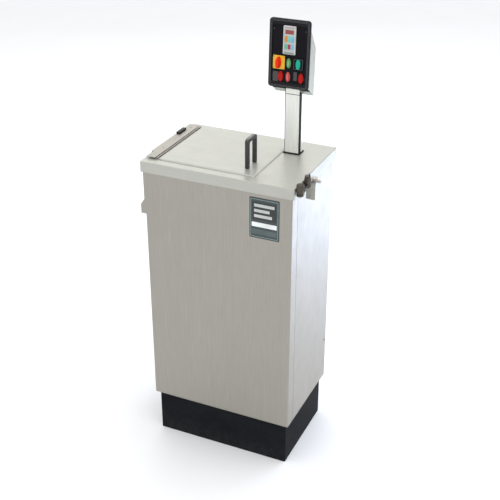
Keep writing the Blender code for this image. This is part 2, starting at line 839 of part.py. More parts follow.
def make_post(pale, black):
    x, y, w, d = POST_X, POST_Y, POST_WIDTH / 2, POST_DEPTH / 2
    margin = 0.0035
    pad = rounded((x - w - margin, y - d - margin), (x + w + margin, y + d + margin), 0.004)
    gasket = prism("post_gasket", pad, "Z", HEIGHT + GAP, HEIGHT + 0.0024, black)
    cut(
        gasket,
        box("gasket_passage", (x - w + 0.006, y - d + 0.006, 0.9), (x + w - 0.006, y + d - 0.006, 1.1)),
    )
    z = HEIGHT + 0.0024 + GAP
    post = prism(
        "control_post", rounded((x - w, y - d), (x + w, y + d), 0.003, 3), "Z", z, POST_TOP, pale, (x, y, z)
    )
    cut(post, box("post_passage", (x - w + WALL, y - d + WALL, 0.9), (x + w - WALL, y + d - WALL, 1.4)))
    smooth(post)


def make_head(head, steel, black):
    """The control head, modelled in its own tilted frame: x across, z up the face, -y towards the user."""
    half = HEAD_WIDTH / 2
    shell_x = half - 0.0020
    depth = 0.0535
    side = [(0.0063, 0.004), (0.0063, 0.178), (depth, 0.1135), (depth, -0.028)]
    shell = prism("control_enclosure", side, "X", -shell_x, shell_x, steel)
    soften(shell, 0.0012, 1)
    t = SHEET
    inner = [(0.0, 0.0065), (0.0, 0.1758), (depth - t, 0.1122), (depth - t, -0.0255)]
    hollow = prism("enclosure_hollow", inner, "X", -shell_x + t, shell_x - t)
    post_w = POST_WIDTH / 2 + GAP
    notch = box("enclosure_notch", (-post_w, 0.0290, -0.05), (post_w, 0.09, 0.0935))
    cut(shell, hollow, notch)

    ring = prism(
        "control_frame", rounded((-half, 0), (half, HEAD_HEIGHT), 0.009, 5), "Y", -0.003, 0.006, black
    )
    window = rounded((-0.0530, 0.0165), (0.0530, 0.1830), 0.006, 4)
    opening = prism("frame_window", window, "Y", -0.02, 0.02)
    cut(ring, opening)
    soften(ring, 0.0010, 1)
    smooth(ring)
    plate = prism(
        "control_plate",
        rounded((-0.0527, 0.0168), (0.0527, 0.1827), 0.0057, 4),
        "Y",
        -0.0005,
        0.0025,
        black,
    )

    front, back = depth + GAP, 0.0775
    outline = [(-0.034, front), (-0.034, back), (0.034, back), (0.034, front)]
    outline += [(post_w, front), (post_w, back - 0.003), (-post_w, back - 0.003), (-post_w, front)]
    socket = prism("post_socket", outline, "Z", -0.026, 0.100, steel)
    attach(head, shell, hollow, notch, ring, opening, plate, socket)
    return plate


def oval(name, centre, width, height, start, end, surface, sides=20):
    """An upright oval piece on the control face, from start to end along its depth."""
    outline = ellipse(centre, (width / 2, height / 2), sides)
    return smooth(prism(name, outline, "Y", start, end, surface, (centre[0], 0, centre[1])))


def make_controls(head, plate, paints):
    cap = {"start": paints["teal"], "heat": paints["red"], "stop": paints["red"]}
    spots = {"start": (0.0305, 0.0740), "heat": (-0.0235, 0.0334), "stop": (0.0394, 0.0337)}
    made = []
    for name, (x, z) in spots.items():
        size = (0.0144, 0.0292) if name == "start" else (0.0150, 0.0300)
        front = -0.0090 if name == "start" else -0.0060
        button = oval(f"{name}_button", (x, z), *size, front, 0.0090, cap[name])
        soften(button, 0.0012, 1, 60)
        flange = oval(f"{name}_flange", (x, z), size[0] + 0.003, size[1] + 0.003, 0.0065, 0.0085, None)
        join(button, flange)
        hole = oval(f"{name}_hole", (x, z), size[0] + 0.0008, size[1] + 0.0008, -0.03, 0.03, None)
        cut(plate, hole)
        made += [button, flange, hole]

    bezel_low, bezel_high = (0.0155, 0.0580), (0.0455, 0.0902)
    bezel = prism(
        "start_button_bezel", rounded(bezel_low, bezel_high, 0.003), "Y", -0.0050, -0.0008, paints["black"]
    )
    soften(bezel, 0.0008, 1)
    bezel_hole = oval("bezel_hole", (0.0305, 0.0740), 0.0152, 0.0300, -0.03, 0.03, None)
    cut(bezel, bezel_hole)
    made += [bezel, bezel_hole]

    lamps = {"running_lamp": (-0.0002, 0.0736, "green"), "fault_lamp": (-0.0012, 0.0334, "pink")}
    for name, (x, z, colour) in lamps.items():
        lens = oval(name, (x, z), 0.0142, 0.0288, -0.0055, 0.0060, paints[colour])
        soften(lens, 0.0020, 1, 60)
        hole = oval(f"{name}_hole", (x, z), 0.0150, 0.0296, -0.03, 0.03, None)
        cut(plate, hole)
        made += [lens, hole]

    kx, kz = -0.0305, 0.0735
    square = rounded((kx - 0.0183, kz - 0.0197), (kx + 0.0183, kz + 0.0197), 0.0015, 2)
    yellow = prism("isolator_plate", square, "Y", -0.0028, -0.0008, paints["yellow"])
    knob = oval("isolator_knob", (kx, kz), 0.0154, 0.0340, -0.0185, -0.0033, paints["orange"])
    soften(knob, 0.0016, 1, 60)
    spindle = cylinder("isolator_spindle", (kx, kz), 0.0040, "Y", -0.0050, 0.0150, origin=(kx, 0, kz))
    join(knob, spindle)
    bores = [cylinder(f"isolator_bore_{i}", (kx, kz), 0.0040 + FIT, "Y", -0.03, 0.03) for i in range(2)]
    cut(yellow, bores[0])
    cut(plate, bores[1])
    made += [yellow, knob, spindle, *bores]

    low, high = (-0.0182, 0.0998), (0.0198, 0.1813)
    unit = prism(
        "temperature_controller", rounded(low, high, 0.002, 2), "Y", -0.0060, -0.0008, paints["pale"]
    )
    soften(unit, 0.0008, 1)
    pocket = box("controller_pocket", (-0.0145, -0.010, 0.1090), (0.0161, -0.0045, 0.1720))
    cut(unit, pocket)
    display = box(
        "controller_display", (-0.0142, -0.0052, 0.1570), (0.0158, -0.0048, 0.1717), paints["dark_red"]
    )
    keypad = box("controller_keypad", (-0.0142, -0.0052, 0.1093), (0.0158, -0.0048, 0.1566), paints["dark"])
    made += [unit, pocket, display, keypad]
    attach(head, *made)


def make_badge(dark):
    x0, x1 = -WIDTH / 2 + 0.716 * WIDTH, -WIDTH / 2 + 0.905 * WIDTH
    y = -BODY_Y - GAP
    badge = box("badge_plate", (x0, y - 0.0012, 0.818), (x1, y, 0.948), dark)
    soften(badge, 0.0004, 1)


def build():
    clear_scene()
    steel = material("brushed_steel", (0.62, 0.60, 0.56), 0.36, 1.0)
    pale = material("pale_steel", (0.72, 0.72, 0.68), 0.40, 1.0)
    dark = material("plinth_black", (0.015, 0.016, 0.019), 0.55)
    black = material("black_plastic", (0.018, 0.017, 0.016), 0.45)
    rubber = material("black_rubber", (0.02, 0.02, 0.02), 0.8)
    brass = material("brass", (0.62, 0.45, 0.20), 0.35, 1.0)
    bronze = material("dark_bronze", (0.10, 0.085, 0.07), 0.45, 1.0)
    copper = material("heater_sheath", (0.45, 0.42, 0.40), 0.35, 1.0)
    plastic = material("grey_plastic", (0.30, 0.31, 0.32), 0.5)
    paints = {
        "black": black,
        "dark": dark,
        "pale": material("controller_grey", (0.60, 0.62, 0.60), 0.5),
        "teal": material("button_teal", (0.01, 0.38, 0.26), 0.35),
        "red": material("button_red", (0.50, 0.012, 0.006), 0.35),
        "green": material("lamp_green", (0.12, 0.35, 0.12), 0.3),
        "pink": material("lamp_red", (0.62, 0.08, 0.07), 0.3),
        "yellow": material("plate_yellow", (0.76, 0.43, 0.03), 0.45),
        "orange": material("knob_red", (0.80, 0.016, 0.005), 0.35),
        "dark_red": material("display_red", (0.30, 0.014, 0.01), 0.25),
    }

    make_plinth(dark)
    make_cabinet(steel)
    make_worktop(steel)
    hinge = bpy.data.objects.new("lid_hinge_axis", None)
    hinge.location = (HINGE_X, 0, HINGE_Z)
    bpy.context.scene.collection.objects.link(hinge)
    make_lid(steel, rubber, black, hinge)
    make_hinge_channel(steel, dark)
    centre, back = make_tank(steel)
    make_cradle(steel)
    make_heater(centre, back, steel, copper)
    make_basket(centre, steel)
    make_plumbing(centre, steel, brass, plastic, black)
    make_float_switch(steel, plastic)
    make_overflow(steel)
    make_fill_valve(bronze, steel, pale)
    make_post(pale, rubber)

    head = bpy.data.objects.new("control_head_frame", None)
    head.location = (HEAD_X, HEAD_Y, HEAD_Z)
    head.rotation_euler = (-HEAD_TILT, 0, 0)
    bpy.context.scene.collection.objects.link(head)
    plate = make_head(head, steel, black)
    make_controls(head, plate, paints)
    make_badge(dark)


build()
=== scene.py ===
"""Looks for the parts washer tank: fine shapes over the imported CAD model, materials, light and camera."""

import json
import math

import bmesh
import bpy
from mathutils import Matrix, Vector


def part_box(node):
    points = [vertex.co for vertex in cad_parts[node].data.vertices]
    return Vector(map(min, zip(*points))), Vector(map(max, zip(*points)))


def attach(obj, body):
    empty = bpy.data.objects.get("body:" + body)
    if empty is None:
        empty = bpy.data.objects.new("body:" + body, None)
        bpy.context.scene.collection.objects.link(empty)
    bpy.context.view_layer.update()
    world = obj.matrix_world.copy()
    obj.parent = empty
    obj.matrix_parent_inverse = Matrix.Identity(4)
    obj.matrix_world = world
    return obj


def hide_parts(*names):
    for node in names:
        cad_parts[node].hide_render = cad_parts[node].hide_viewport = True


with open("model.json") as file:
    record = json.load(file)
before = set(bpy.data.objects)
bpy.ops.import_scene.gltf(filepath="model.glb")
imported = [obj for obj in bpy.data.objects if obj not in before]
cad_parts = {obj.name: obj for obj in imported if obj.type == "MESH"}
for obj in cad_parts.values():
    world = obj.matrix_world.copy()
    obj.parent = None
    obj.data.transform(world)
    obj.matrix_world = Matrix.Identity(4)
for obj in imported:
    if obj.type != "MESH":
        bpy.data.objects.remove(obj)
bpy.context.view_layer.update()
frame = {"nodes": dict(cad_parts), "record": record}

# Driving dimensions in metres: read from the frame where a node's box gives them, else as in the CAD
top_low, top_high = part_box("worktop_frame")
body_low, body_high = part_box("front_panel")
lid_low, lid_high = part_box("lid")
handle_low, handle_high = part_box("lid_handle")
post_low, post_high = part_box("control_post")
badge_low, badge_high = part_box("badge_plate")
cover_low, cover_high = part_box("rear_cover")

WIDTH = top_high.x - top_low.x
DEPTH = top_high.y - top_low.y
HEIGHT = top_high.z
SKIRT = HEIGHT - top_low.z
SHEET = 0.0015
WALL = 0.002
GAP = 0.0003
BODY_X = body_high.x
BODY_Y = -body_low.y
BODY_TOP = body_high.z
BODY_CORNER = 0.004
CORNER_Y = body_high.y
PLINTH_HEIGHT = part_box("cabinet_floor")[0].z
PLINTH_INSET = 0.012
LOUVRES = 6

OPENING_X = (-0.194, 0.102)
OPENING_Y = (-0.130, 0.138)
LID_X = (lid_low.x, lid_high.x)
LID_Y = (lid_low.y, lid_high.y)
LID_UNDERSIDE = HEIGHT + 0.0018
HINGE_X = -0.2095
HINGE_Z = HEIGHT + 0.003
KNUCKLE_R = 0.0026
PIN_R = 0.00125
KNUCKLES = 7

TANK_BOTTOM = 0.640
SUMP_DEPTH = 0.034
DRAIN_R = 0.016
HEATER_Z = 0.668
SPRAY_Y, SPRAY_Z = -0.080, 0.930
BASKET_X, BASKET_Y = 0.128, 0.112
BASKET_Z = (0.715, 0.800)
DRAIN_Z = 0.215
PUMP = (0.120, -0.060)
FLOAT = (-0.172, 0.112)

POST_X = (post_low.x + post_high.x) / 2
POST_WIDTH = post_high.x - post_low.x
POST_SEAM = 1.186
HEAD_PLACE = (POST_X, 0.0293, 1.217)
HEAD_TILT = math.radians(3.07)
HEAD_WIDTH = 0.125
HEAD_HEIGHT = 0.1995
HEAD_DEPTH = 0.0535

HANDLE_X = (handle_low.x + handle_high.x) / 2
HANDLE_Y = (handle_low.y, handle_high.y)
HANDLE_TOP = handle_high.z
HANDLE_BAR = handle_high.x - handle_low.x

KNOB = (0.2622, -0.160)
KNOB_BOTTOM = 0.9843
BOWL = (0.2605, -0.100)
SHAFT_SIDES = 40
FIT = 0.00008

# Places on the control face: across and up from the middle of its lower edge
ISOLATOR = (-0.0305, 0.0735)
START = (0.0305, 0.0740)
HEAT = (-0.0235, 0.0334)
STOP = (0.0394, 0.0337)
RUNNING = (-0.0002, 0.0736)
FAULT = (-0.0012, 0.0334)
THROUGH = (-0.03, 0.03)
OVAL_SIDES = 48

# Every piece that shows: name -> (shape, paint, body). The other helpers are cutters or joined on.
made = {}
helpers = []
node_body = {
    node: body
    for body, nodes in frame["record"]["behaviour"]["bodies"].items()
    for node in nodes
}
node_body["knob_pointer"] = "isolator"


def add_object(name, data):
    obj = bpy.data.objects.new(name, data)
    bpy.context.scene.collection.objects.link(obj)
    return obj


def skin(name, rings, surface=None, loop=False):
    """A closed form over rings of points: capped at both ends or, as a loop, joined last to first.

    A ring of one point is a tip. With a surface it is a piece that shows, without one a cutter.
    """
    grid = bmesh.new()
    loops = [[grid.verts.new(point) for point in ring_points] for ring_points in rings]
    pairs = list(zip(loops, loops[1:]))
    if loop:
        pairs.append((loops[-1], loops[0]))
    else:
        grid.faces.new(loops[0])
        grid.faces.new(loops[-1])
    for a, b in pairs:
        for i in range(max(len(a), len(b))):
            j = i + 1
            corner = (a[i % len(a)], a[j % len(a)], b[j % len(b)], b[i % len(b)])
            distinct = list(dict.fromkeys(corner))
            if len(distinct) > 2:
                grid.faces.new(distinct)
    bmesh.ops.recalc_face_normals(grid, faces=grid.faces)
    mesh = bpy.data.meshes.new(name)
    grid.to_mesh(mesh)
    grid.free()
    obj = add_object(name, mesh)
    helpers.append(obj)
    if surface:
        made[name] = (obj, surface, node_body.get(name, "cabinet"))
    return obj


def mm(*points):
    """Points given in millimetres, in metres."""
    return [tuple(number / 1000 for number in point) for point in points]


def ellipse(centre, radii, sides=SHAFT_SIDES):
    turns = [2 * math.pi * i / sides for i in range(sides)]
    return [(centre[0] + radii[0] * math.cos(t), centre[1] + radii[1] * math.sin(t)) for t in turns]


def rectangle(low, high):
    return [(low[0], low[1]), (high[0], low[1]), (high[0], high[1]), (low[0], high[1])]


def quarter(centre, radii, first, steps):
    """A quarter of an ellipse, anticlockwise from the angle first in degrees."""
    turns = [math.radians(first + 90 * i / steps) for i in range(steps + 1)]
    return [(centre[0] + radii[0] * math.cos(t), centre[1] + radii[1] * math.sin(t)) for t in turns]


def rounded(low, high, radius, steps=7):
    """A rectangle with round corners."""
    points = []
    for x, y, first in (
        (high[0], high[1], 0),
        (low[0], high[1], 90),
        (low[0], low[1], 180),
        (high[0], low[1], 270),
    ):
        cx = x - math.copysign(radius, x - (low[0] + high[0]) / 2)
        cy = y - math.copysign(radius, y - (low[1] + high[1]) / 2)
        points += quarter((cx, cy), (radius, radius), first, steps)
    return points


def prism(name, outline, axis, start, end, surface=None):
    """An outline in the plane across one axis, extruded from start to end along it.

    The outline's two numbers are the other two axes in X, Y, Z order.
    """
    turn = {"X": (1, 2, 0), "Y": (0, 2, 1), "Z": (0, 1, 2)}[axis]

    def at(a, b, along):
        point = Vector((0, 0, 0))
        point[turn[0]], point[turn[1]], point[turn[2]] = a, b, along
        return point

    return skin(name, [[at(a, b, along) for a, b in outline] for along in (start, end)], surface)


def box(name, low, high, surface=None):
    return prism(name, rectangle(low, high), "Z", low[2], high[2], surface)


def cylinder(name, centre, radius, axis, start, end, surface=None, sides=SHAFT_SIDES):
    """A round bar along an axis; centre is its other two coordinates in X, Y, Z order."""
    return prism(name, ellipse(centre, (radius, radius), sides), axis, start, end, surface)


def turned(name, profile, axis, place, surface=None, sides=SHAFT_SIDES):
    """A closed profile of (radius, height) points turned about an axis through place.

    Points of zero radius lie on the axis.
    """
    turns = {
        "X": Matrix.Rotation(math.pi / 2, 3, "Y"),
        "Y": Matrix.Rotation(-math.pi / 2, 3, "X"),
        "Z": Matrix.Identity(3),
    }
    rings = []
    for radius, height in profile:
        spots = ellipse((0, 0), (radius, radius), sides) if radius else [(0, 0)]
        rings.append([Vector(place) + turns[axis] @ Vector((x, y, height)) for x, y in spots])
    return skin(name, rings, surface, loop=True)


def tube(name, points, radius, surface=None, sides=20, bore=0.0):
    """A round rod, or with a bore a pipe, swept along points with its ends square to the path."""
    points = [Vector(p) for p in points]

    def sweep(size):
        rings = []
        side = (points[1] - points[0]).orthogonal().normalized()
        for i, point in enumerate(points):
            forward = (points[min(i + 1, len(points) - 1)] - points[max(i - 1, 0)]).normalized()
            side = (side - forward * side.dot(forward)).normalized()
            up = forward.cross(side)
            rings.append([point + side * x + up * y for x, y in ellipse((0, 0), (size, size), sides)])
        return rings

    if bore:
        return skin(name, sweep(radius) + sweep(bore)[::-1], surface, loop=True)
    return skin(name, sweep(radius), surface)


def bend(points, radius, steps=7):
    """The points of a path with each inner corner rounded."""
    points = [Vector(p) for p in points]
    path = [points[0]]
    for before, corner, after in zip(points, points[1:], points[2:]):
        into = (before - corner).normalized()
        out = (after - corner).normalized()
        half = into.angle(out) / 2
        reach = radius / math.tan(half)
        centre = corner + (into + out).normalized() * (radius / math.sin(half))
        first = corner + into * reach - centre
        last = corner + out * reach - centre
        for i in range(steps + 1):
            path.append(centre + first.slerp(last, i / steps) * radius)
    path.append(points[-1])
    return path


def combine(obj, operation, others):
    """Adds a Boolean with each of the others, in turn; finish_pieces evaluates them."""
    for other in others:
        step = obj.modifiers.new(other.name, "BOOLEAN")
        step.operation = operation
        step.solver = "EXACT"
        step.object = other
        other.hide_render = True
        other.display_type = "WIRE"
    return obj


def cut(obj, *cutters):
    return combine(obj, "DIFFERENCE", cutters)


def join(obj, *others):
    return combine(obj, "UNION", others)


def soften(obj, width, segments=3, degrees=40):
    """Rounds every edge sharper than the given angle."""
    edge = obj.modifiers.new("edges", "BEVEL")
    edge.width = width
    edge.segments = segments
    edge.limit_method = "ANGLE"
    edge.angle_limit = math.radians(degrees)
    return obj


def tile(name, low, high, radius, start, end, surface, edge, segments=2):
    """A soft-edged plate with round corners that faces the front."""
    return soften(prism(name, rounded(low, high, radius), "Y", start, end, surface), edge, segments)


def ring(name, low, high, radius, width, axis, start, end, surface=None):
    """A rounded rectangular ring, its outer corners given."""
    outer = prism(name, rounded(low, high, radius), axis, start, end, surface)
    inner_low = (low[0] + width, low[1] + width)
    inner_high = (high[0] - width, high[1] - width)
    inside = rounded(inner_low, inner_high, max(radius - width, 0.0003))
    return cut(outer, prism(f"{name}_hole", inside, axis, min(start, end) - 0.01, max(start, end) + 0.01))


def screw(name, place, axis, radius, surface="screw_steel"):
    """A low pan-head screw with a cross recess; its head rises along axis, such as +X or -Y, from place."""
    sign = -1 if axis[0] == "-" else 1
    along = axis[-1]
    dome = ((0, 0), (1, 0), (1, 0.25), (0.8, 0.5), (0.45, 0.62), (0, 0.66))
    head = turned(name, [(r * radius, sign * h * radius) for r, h in dome], along, place, surface, 24)
    long_side, short_side, depth = radius * 0.62, radius * 0.62 * 0.26, radius * 0.36
    spot = Vector(place)
    spot["XYZ".index(along)] += sign * long_side
    for turn, extent in enumerate(([short_side, long_side], [long_side, short_side])):
        extent.insert("XYZ".index(along), depth)
        half = Vector(extent)
        cut(head, box(f"{name}_slot_{turn}", spot - half, spot + half))
    return head


def make_plinth():
    """The hollow black plinth, set back under the cabinet."""
    x, y = BODY_X - PLINTH_INSET, BODY_Y - PLINTH_INSET
    outline = rounded((-x, -y), (x, y), BODY_CORNER)
    plinth = prism("plinth", outline, "Z", 0, PLINTH_HEIGHT - GAP, "powder_black")
    soften(plinth, 0.0012, 3)
    cut(
        plinth,
        box("plinth_inside", (-x + WALL, -y + WALL, 0.003), (x - WALL, y - WALL, PLINTH_HEIGHT - 0.004)),
        box("plinth_access", (-x + 0.02, -y + 0.02, 0.1), (x - 0.02, y - 0.02, 0.2)),
    )


def corners(span_x, span_y, grow=0.0):
    """The low and high corners of a rectangle given by its spans, grown on every side."""
    return (span_x[0] - grow, span_y[0] - grow), (span_x[1] + grow, span_y[1] + grow)


def opening(inset, radius):
    """The outline of the worktop's opening, drawn in by inset on every side."""
    return rounded(*corners(OPENING_X, OPENING_Y, -inset), radius)


def make_cabinet():
    """The floor pan, the front that wraps round both corners, the side panels and the rear cover."""
    x, y, t = BODY_X, BODY_Y, SHEET
    z0, z1 = PLINTH_HEIGHT + WALL + GAP, BODY_TOP
    plan = rounded((-x, -y), (x, y), BODY_CORNER)
    soften(prism("cabinet_floor", plan, "Z", PLINTH_HEIGHT, z0 - GAP, "steel_x"), 0.0005, 2)

    shell = prism("front_panel", plan, "Z", z0, z1, "steel_z")
    cut(
        shell,
        prism("front_inside", rounded((-x + t, -y + t), (x - t, y + 0.01), 0.0025), "Z", 0, 2),
        box("front_rear", (-1, CORNER_Y, 0), (1, 1, 2)),
    )
    soften(shell, 0.0004, 2, 60)

    seam, fold, lap = CORNER_Y + 0.0012, 0.003, 0.022
    outline = [(x, seam), *quarter((x - fold, y - fold), (fold, fold), 0, 5)]
    outline += [(x - lap, y), (x - lap, y - t), (x - t, y - t), (x - t, seam)]
    for side, name in ((-1, "left_side_panel"), (1, "right_side_panel")):
        panel = prism(name, [(side * a, b) for a, b in outline], "Z", z0, z1, "steel_z")
        soften(panel, 0.0004, 2, 60)
    make_rear_cover()
    plug = mm((0, -0.4), (3.4, -0.4), (3.4, 0.6), (2.6, 1.2), (0, 1.3))
    turned("side_hole_plug", plug, "X", (x, 0.1518, 0.3020), "black_plastic", 24)


def make_rear_cover():
    """A louvred cover with its edge screws, open where the drain pipe passes."""
    back = cover_high.y
    rear = box("rear_cover", cover_low, cover_high, "steel_z")
    cut(rear, cylinder("drain_passage", (0.0, DRAIN_Z), 0.0105, "Y", back - 0.01, back + 0.01))
    half, first, pitch = 0.092, 0.30, 0.022
    for i in range(LOUVRES):
        z = first + i * pitch
        outer = [(back - 0.0002, z - 0.0005), *quarter((back, z), (0.0046, 0.0105), 0, 6)]
        outer.append((back - 0.0002, z + 0.0105))
        inner = [(back - 0.01, z - 0.002), (back + 0.0034, z - 0.002)]
        inner += [*quarter((back, z), (0.0034, 0.0092), 0, 6), (back - 0.01, z + 0.0092)]
        join(rear, prism(f"louvre_{i}", outer, "X", -half, half))
        cut(rear, prism(f"louvre_mouth_{i}", inner, "X", SHEET - half, half - SHEET))
    soften(rear, 0.0003, 2, 60)
    for side, letter in ((-1, "l"), (1, "r")):
        for i, z in enumerate((0.19, 0.44, 0.70, 0.94)):
            screw(f"rear_screw_{letter}{i}", (side * (cover_high.x - 0.010), back - 0.00015, z), "+Y", 0.0038)


def make_worktop():
    """The worktop with its folded skirt and the opening under the lid."""
    x, y, z, t = WIDTH / 2, DEPTH / 2, HEIGHT, SHEET
    outer = rounded((-x, -y), (x, y), BODY_CORNER)
    top = prism("worktop_frame", outer, "Z", z - SKIRT - 0.01, z, "steel_top")
    soften(top, 0.0022, 4)
    cut(
        top,
        box("worktop_below", (-1, -1, z - 0.1), (1, 1, z - SKIRT)),
        prism("worktop_hollow", rounded((-x + t, -y + t), (x - t, y - t), 0.0025), "Z", z - 0.2, z - t),
        prism("worktop_opening", opening(0, 0.012), "Z", z - 0.1, z + 0.1),
    )


def make_lid():
    """The lid: a plate with a sloping edge, a flange that drops into the opening, and the seal round it."""
    (x0, x1), (y0, y1), z = LID_X, LID_Y, LID_UNDERSIDE
    slope = ((0, GAP), (0, 0.0009), (0.0006, 0.0015), (0.0022, 0.0022), (0.0048, 0.0029), (0.0075, 0.0033))
    rings = []
    for inset, level in slope:
        outline = rounded(*corners(LID_X, LID_Y, -inset), 0.005)
        rings.append([(a, b, HEIGHT + level) for a, b in outline])
    plate = skin("lid", rings, "steel_top")
    hollow = rounded((x0 + 0.014, y0 + 0.005), (x1 - 0.005, y1 - 0.005), 0.004)
    flange = prism("lid_flange", opening(0.0045, 0.010), "Z", z - 0.018, z + 0.0005)
    low, high = corners(OPENING_X, OPENING_Y, -0.0062)
    cut(flange, box("lid_flange_inside", (*low, z - 0.1), (*high, z)))
    cut(
        plate,
        prism("lid_under", hollow, "Z", 0.9, z - 0.0002),
        box("lid_leaf_room", (x0 - 0.01, y0 - 0.01, 0.9), (x0 + 0.0145, y1 + 0.01, z)),
    )
    join(plate, flange)

    seal = prism("lid_gasket", opening(0.0004, 0.0115), "Z", HEIGHT - 0.008, HEIGHT - 0.0012, "rubber")
    cut(seal, prism("gasket_inside", opening(0.0042, 0.0103), "Z", 0.9, 1.1))
    soften(seal, 0.0010, 3, 60)
    make_handle(z + SHEET + GAP)
    make_hinge()


def make_handle(base):
    """A square-section black bow across the lid, round at its upper corners."""
    y0, y1 = HANDLE_Y
    half = HANDLE_BAR / 2

    def arch(inset, radius, foot):
        level = HANDLE_TOP - inset - radius
        points = [(y1 - inset, foot), *quarter((y1 - inset - radius, level), (radius, radius), 0, 8)]
        points += [*quarter((y0 + inset + radius, level), (radius, radius), 90, 8), (y0 + inset, foot)]
        return points

    outer, inner = arch(0, 0.012, base), arch(HANDLE_BAR, 0.006, base - 0.1)
    bar = prism("lid_handle", outer, "X", HANDLE_X - half, HANDLE_X + half, "handle_black")
    cut(bar, prism("handle_inside", inner, "X", HANDLE_X - 0.05, HANDLE_X + 0.05))
    soften(bar, 0.0022, 4, 50)


def make_hinge():
    """A piano hinge: two rows of knuckles on one pin, each on its own leaf."""
    start, end = LID_Y[0] + 0.002, LID_Y[1] - 0.002
    pitch = (end - start) / KNUCKLES
    low, thick = HEIGHT + GAP, 0.0012
    axis = (HINGE_X, HINGE_Z)
    for first, name in ((0, "hinge_leaf_fixed"), (1, "hinge_leaf_lid")):
        side = 1 if first else -1
        reach = sorted((HINGE_X + side * (KNUCKLE_R + GAP), HINGE_X + side * 0.013))
        root = sorted((HINGE_X, HINGE_X + side * (KNUCKLE_R + 0.001)))
        leaf = box(name, (reach[0], start, low), (reach[1], end, low + thick), "steel_y")
        for i in range(first, KNUCKLES, 2):
            a, b = start + i * pitch + GAP, start + (i + 1) * pitch - GAP
            knuckle = cylinder(f"{name}_knuckle_{i}", axis, KNUCKLE_R, "Y", a, b, sides=28)
            join(leaf, knuckle, box(f"{name}_root_{i}", (root[0], a, low), (root[1], b, low + thick)))
        cut(leaf, cylinder(f"{name}_bore", axis, PIN_R + 0.00006, "Y", -0.3, 0.3, sides=28))
    pin = cylinder("hinge_pin", axis, PIN_R, "Y", start - 0.001, end + 0.001, "steel_plain", 28)
    soften(pin, 0.0003, 2)


def make_hinge_channel():
    """The folded cover along the left edge, open at its front end, and the dark block at its rear."""
    z, t = HEIGHT + GAP, 0.0012
    left, right = -WIDTH / 2 + 0.0006, HINGE_X - KNUCKLE_R - 0.0012
    y0, y1, roof = -0.1432, 0.1510, z + 0.0058
    outline = [(left, z), (left, roof), (right, roof), (right, roof - t), (left + t, roof - t), (left + t, z)]
    channel = prism("hinge_channel", outline, "Y", y0, y1, "steel_y")
    notch = box("channel_notch", (left - 0.01, y0 - 0.01, z - 0.01), (left + 0.006, -0.100, z + 0.05))
    foot = box("channel_foot", (left, -0.099, z), (left + 0.010, y1, z + t))
    soften(join(cut(channel, notch), foot), 0.0004, 2)
    block_low, block_high = (left, 0.0575, roof + GAP), (left + 0.013, 0.1035, z + 0.0112)
    soften(box("hinge_stop_block", block_low, block_high, "black_plastic"), 0.0014, 3)
    for i, y in enumerate((-0.06, 0.02, 0.125)):
        screw(f"channel_screw_{i}", (left + 0.018, y, z + 0.0057), "+Z", 0.0024)


def make_overflow():
    """The duct down the left side from the skirt, ending in a hood that faces down."""
    x = -BODY_X - GAP
    y0, y1 = -0.150, 0.010
    top = HEIGHT - SKIRT - 0.001
    duct = box("overflow_duct", (x - 0.013, y0, 0.862), (x, y1, top), "steel_z")
    soften(duct, 0.0014, 3)
    outline = [(x, 0.812), (x - 0.026, 0.812), (x - 0.026, 0.843), (x - 0.0128, 0.8617), (x, 0.8617)]
    hood = prism("overflow_hood", outline, "Y", y0, y1, "steel_z")
    soften(hood, 0.0014, 3)
    inner = [(x - WALL, 0.80), (x - 0.024, 0.80), (x - 0.024, 0.8422), (x - 0.0122, 0.8592)]
    inner.append((x - WALL, 0.8592))
    cut(
        hood,
        prism("hood_inside", inner, "Y", y0 + WALL, y1 - WALL),
        box("hood_throat", (x - 0.0105, y0 + 0.003, 0.85), (x - 0.0025, y1 - 0.003, 0.87)),
    )
    cut(duct, box("duct_inside", (x - 0.0110, y0 + WALL, 0.85), (x - WALL, y1 - WALL, top - WALL)))


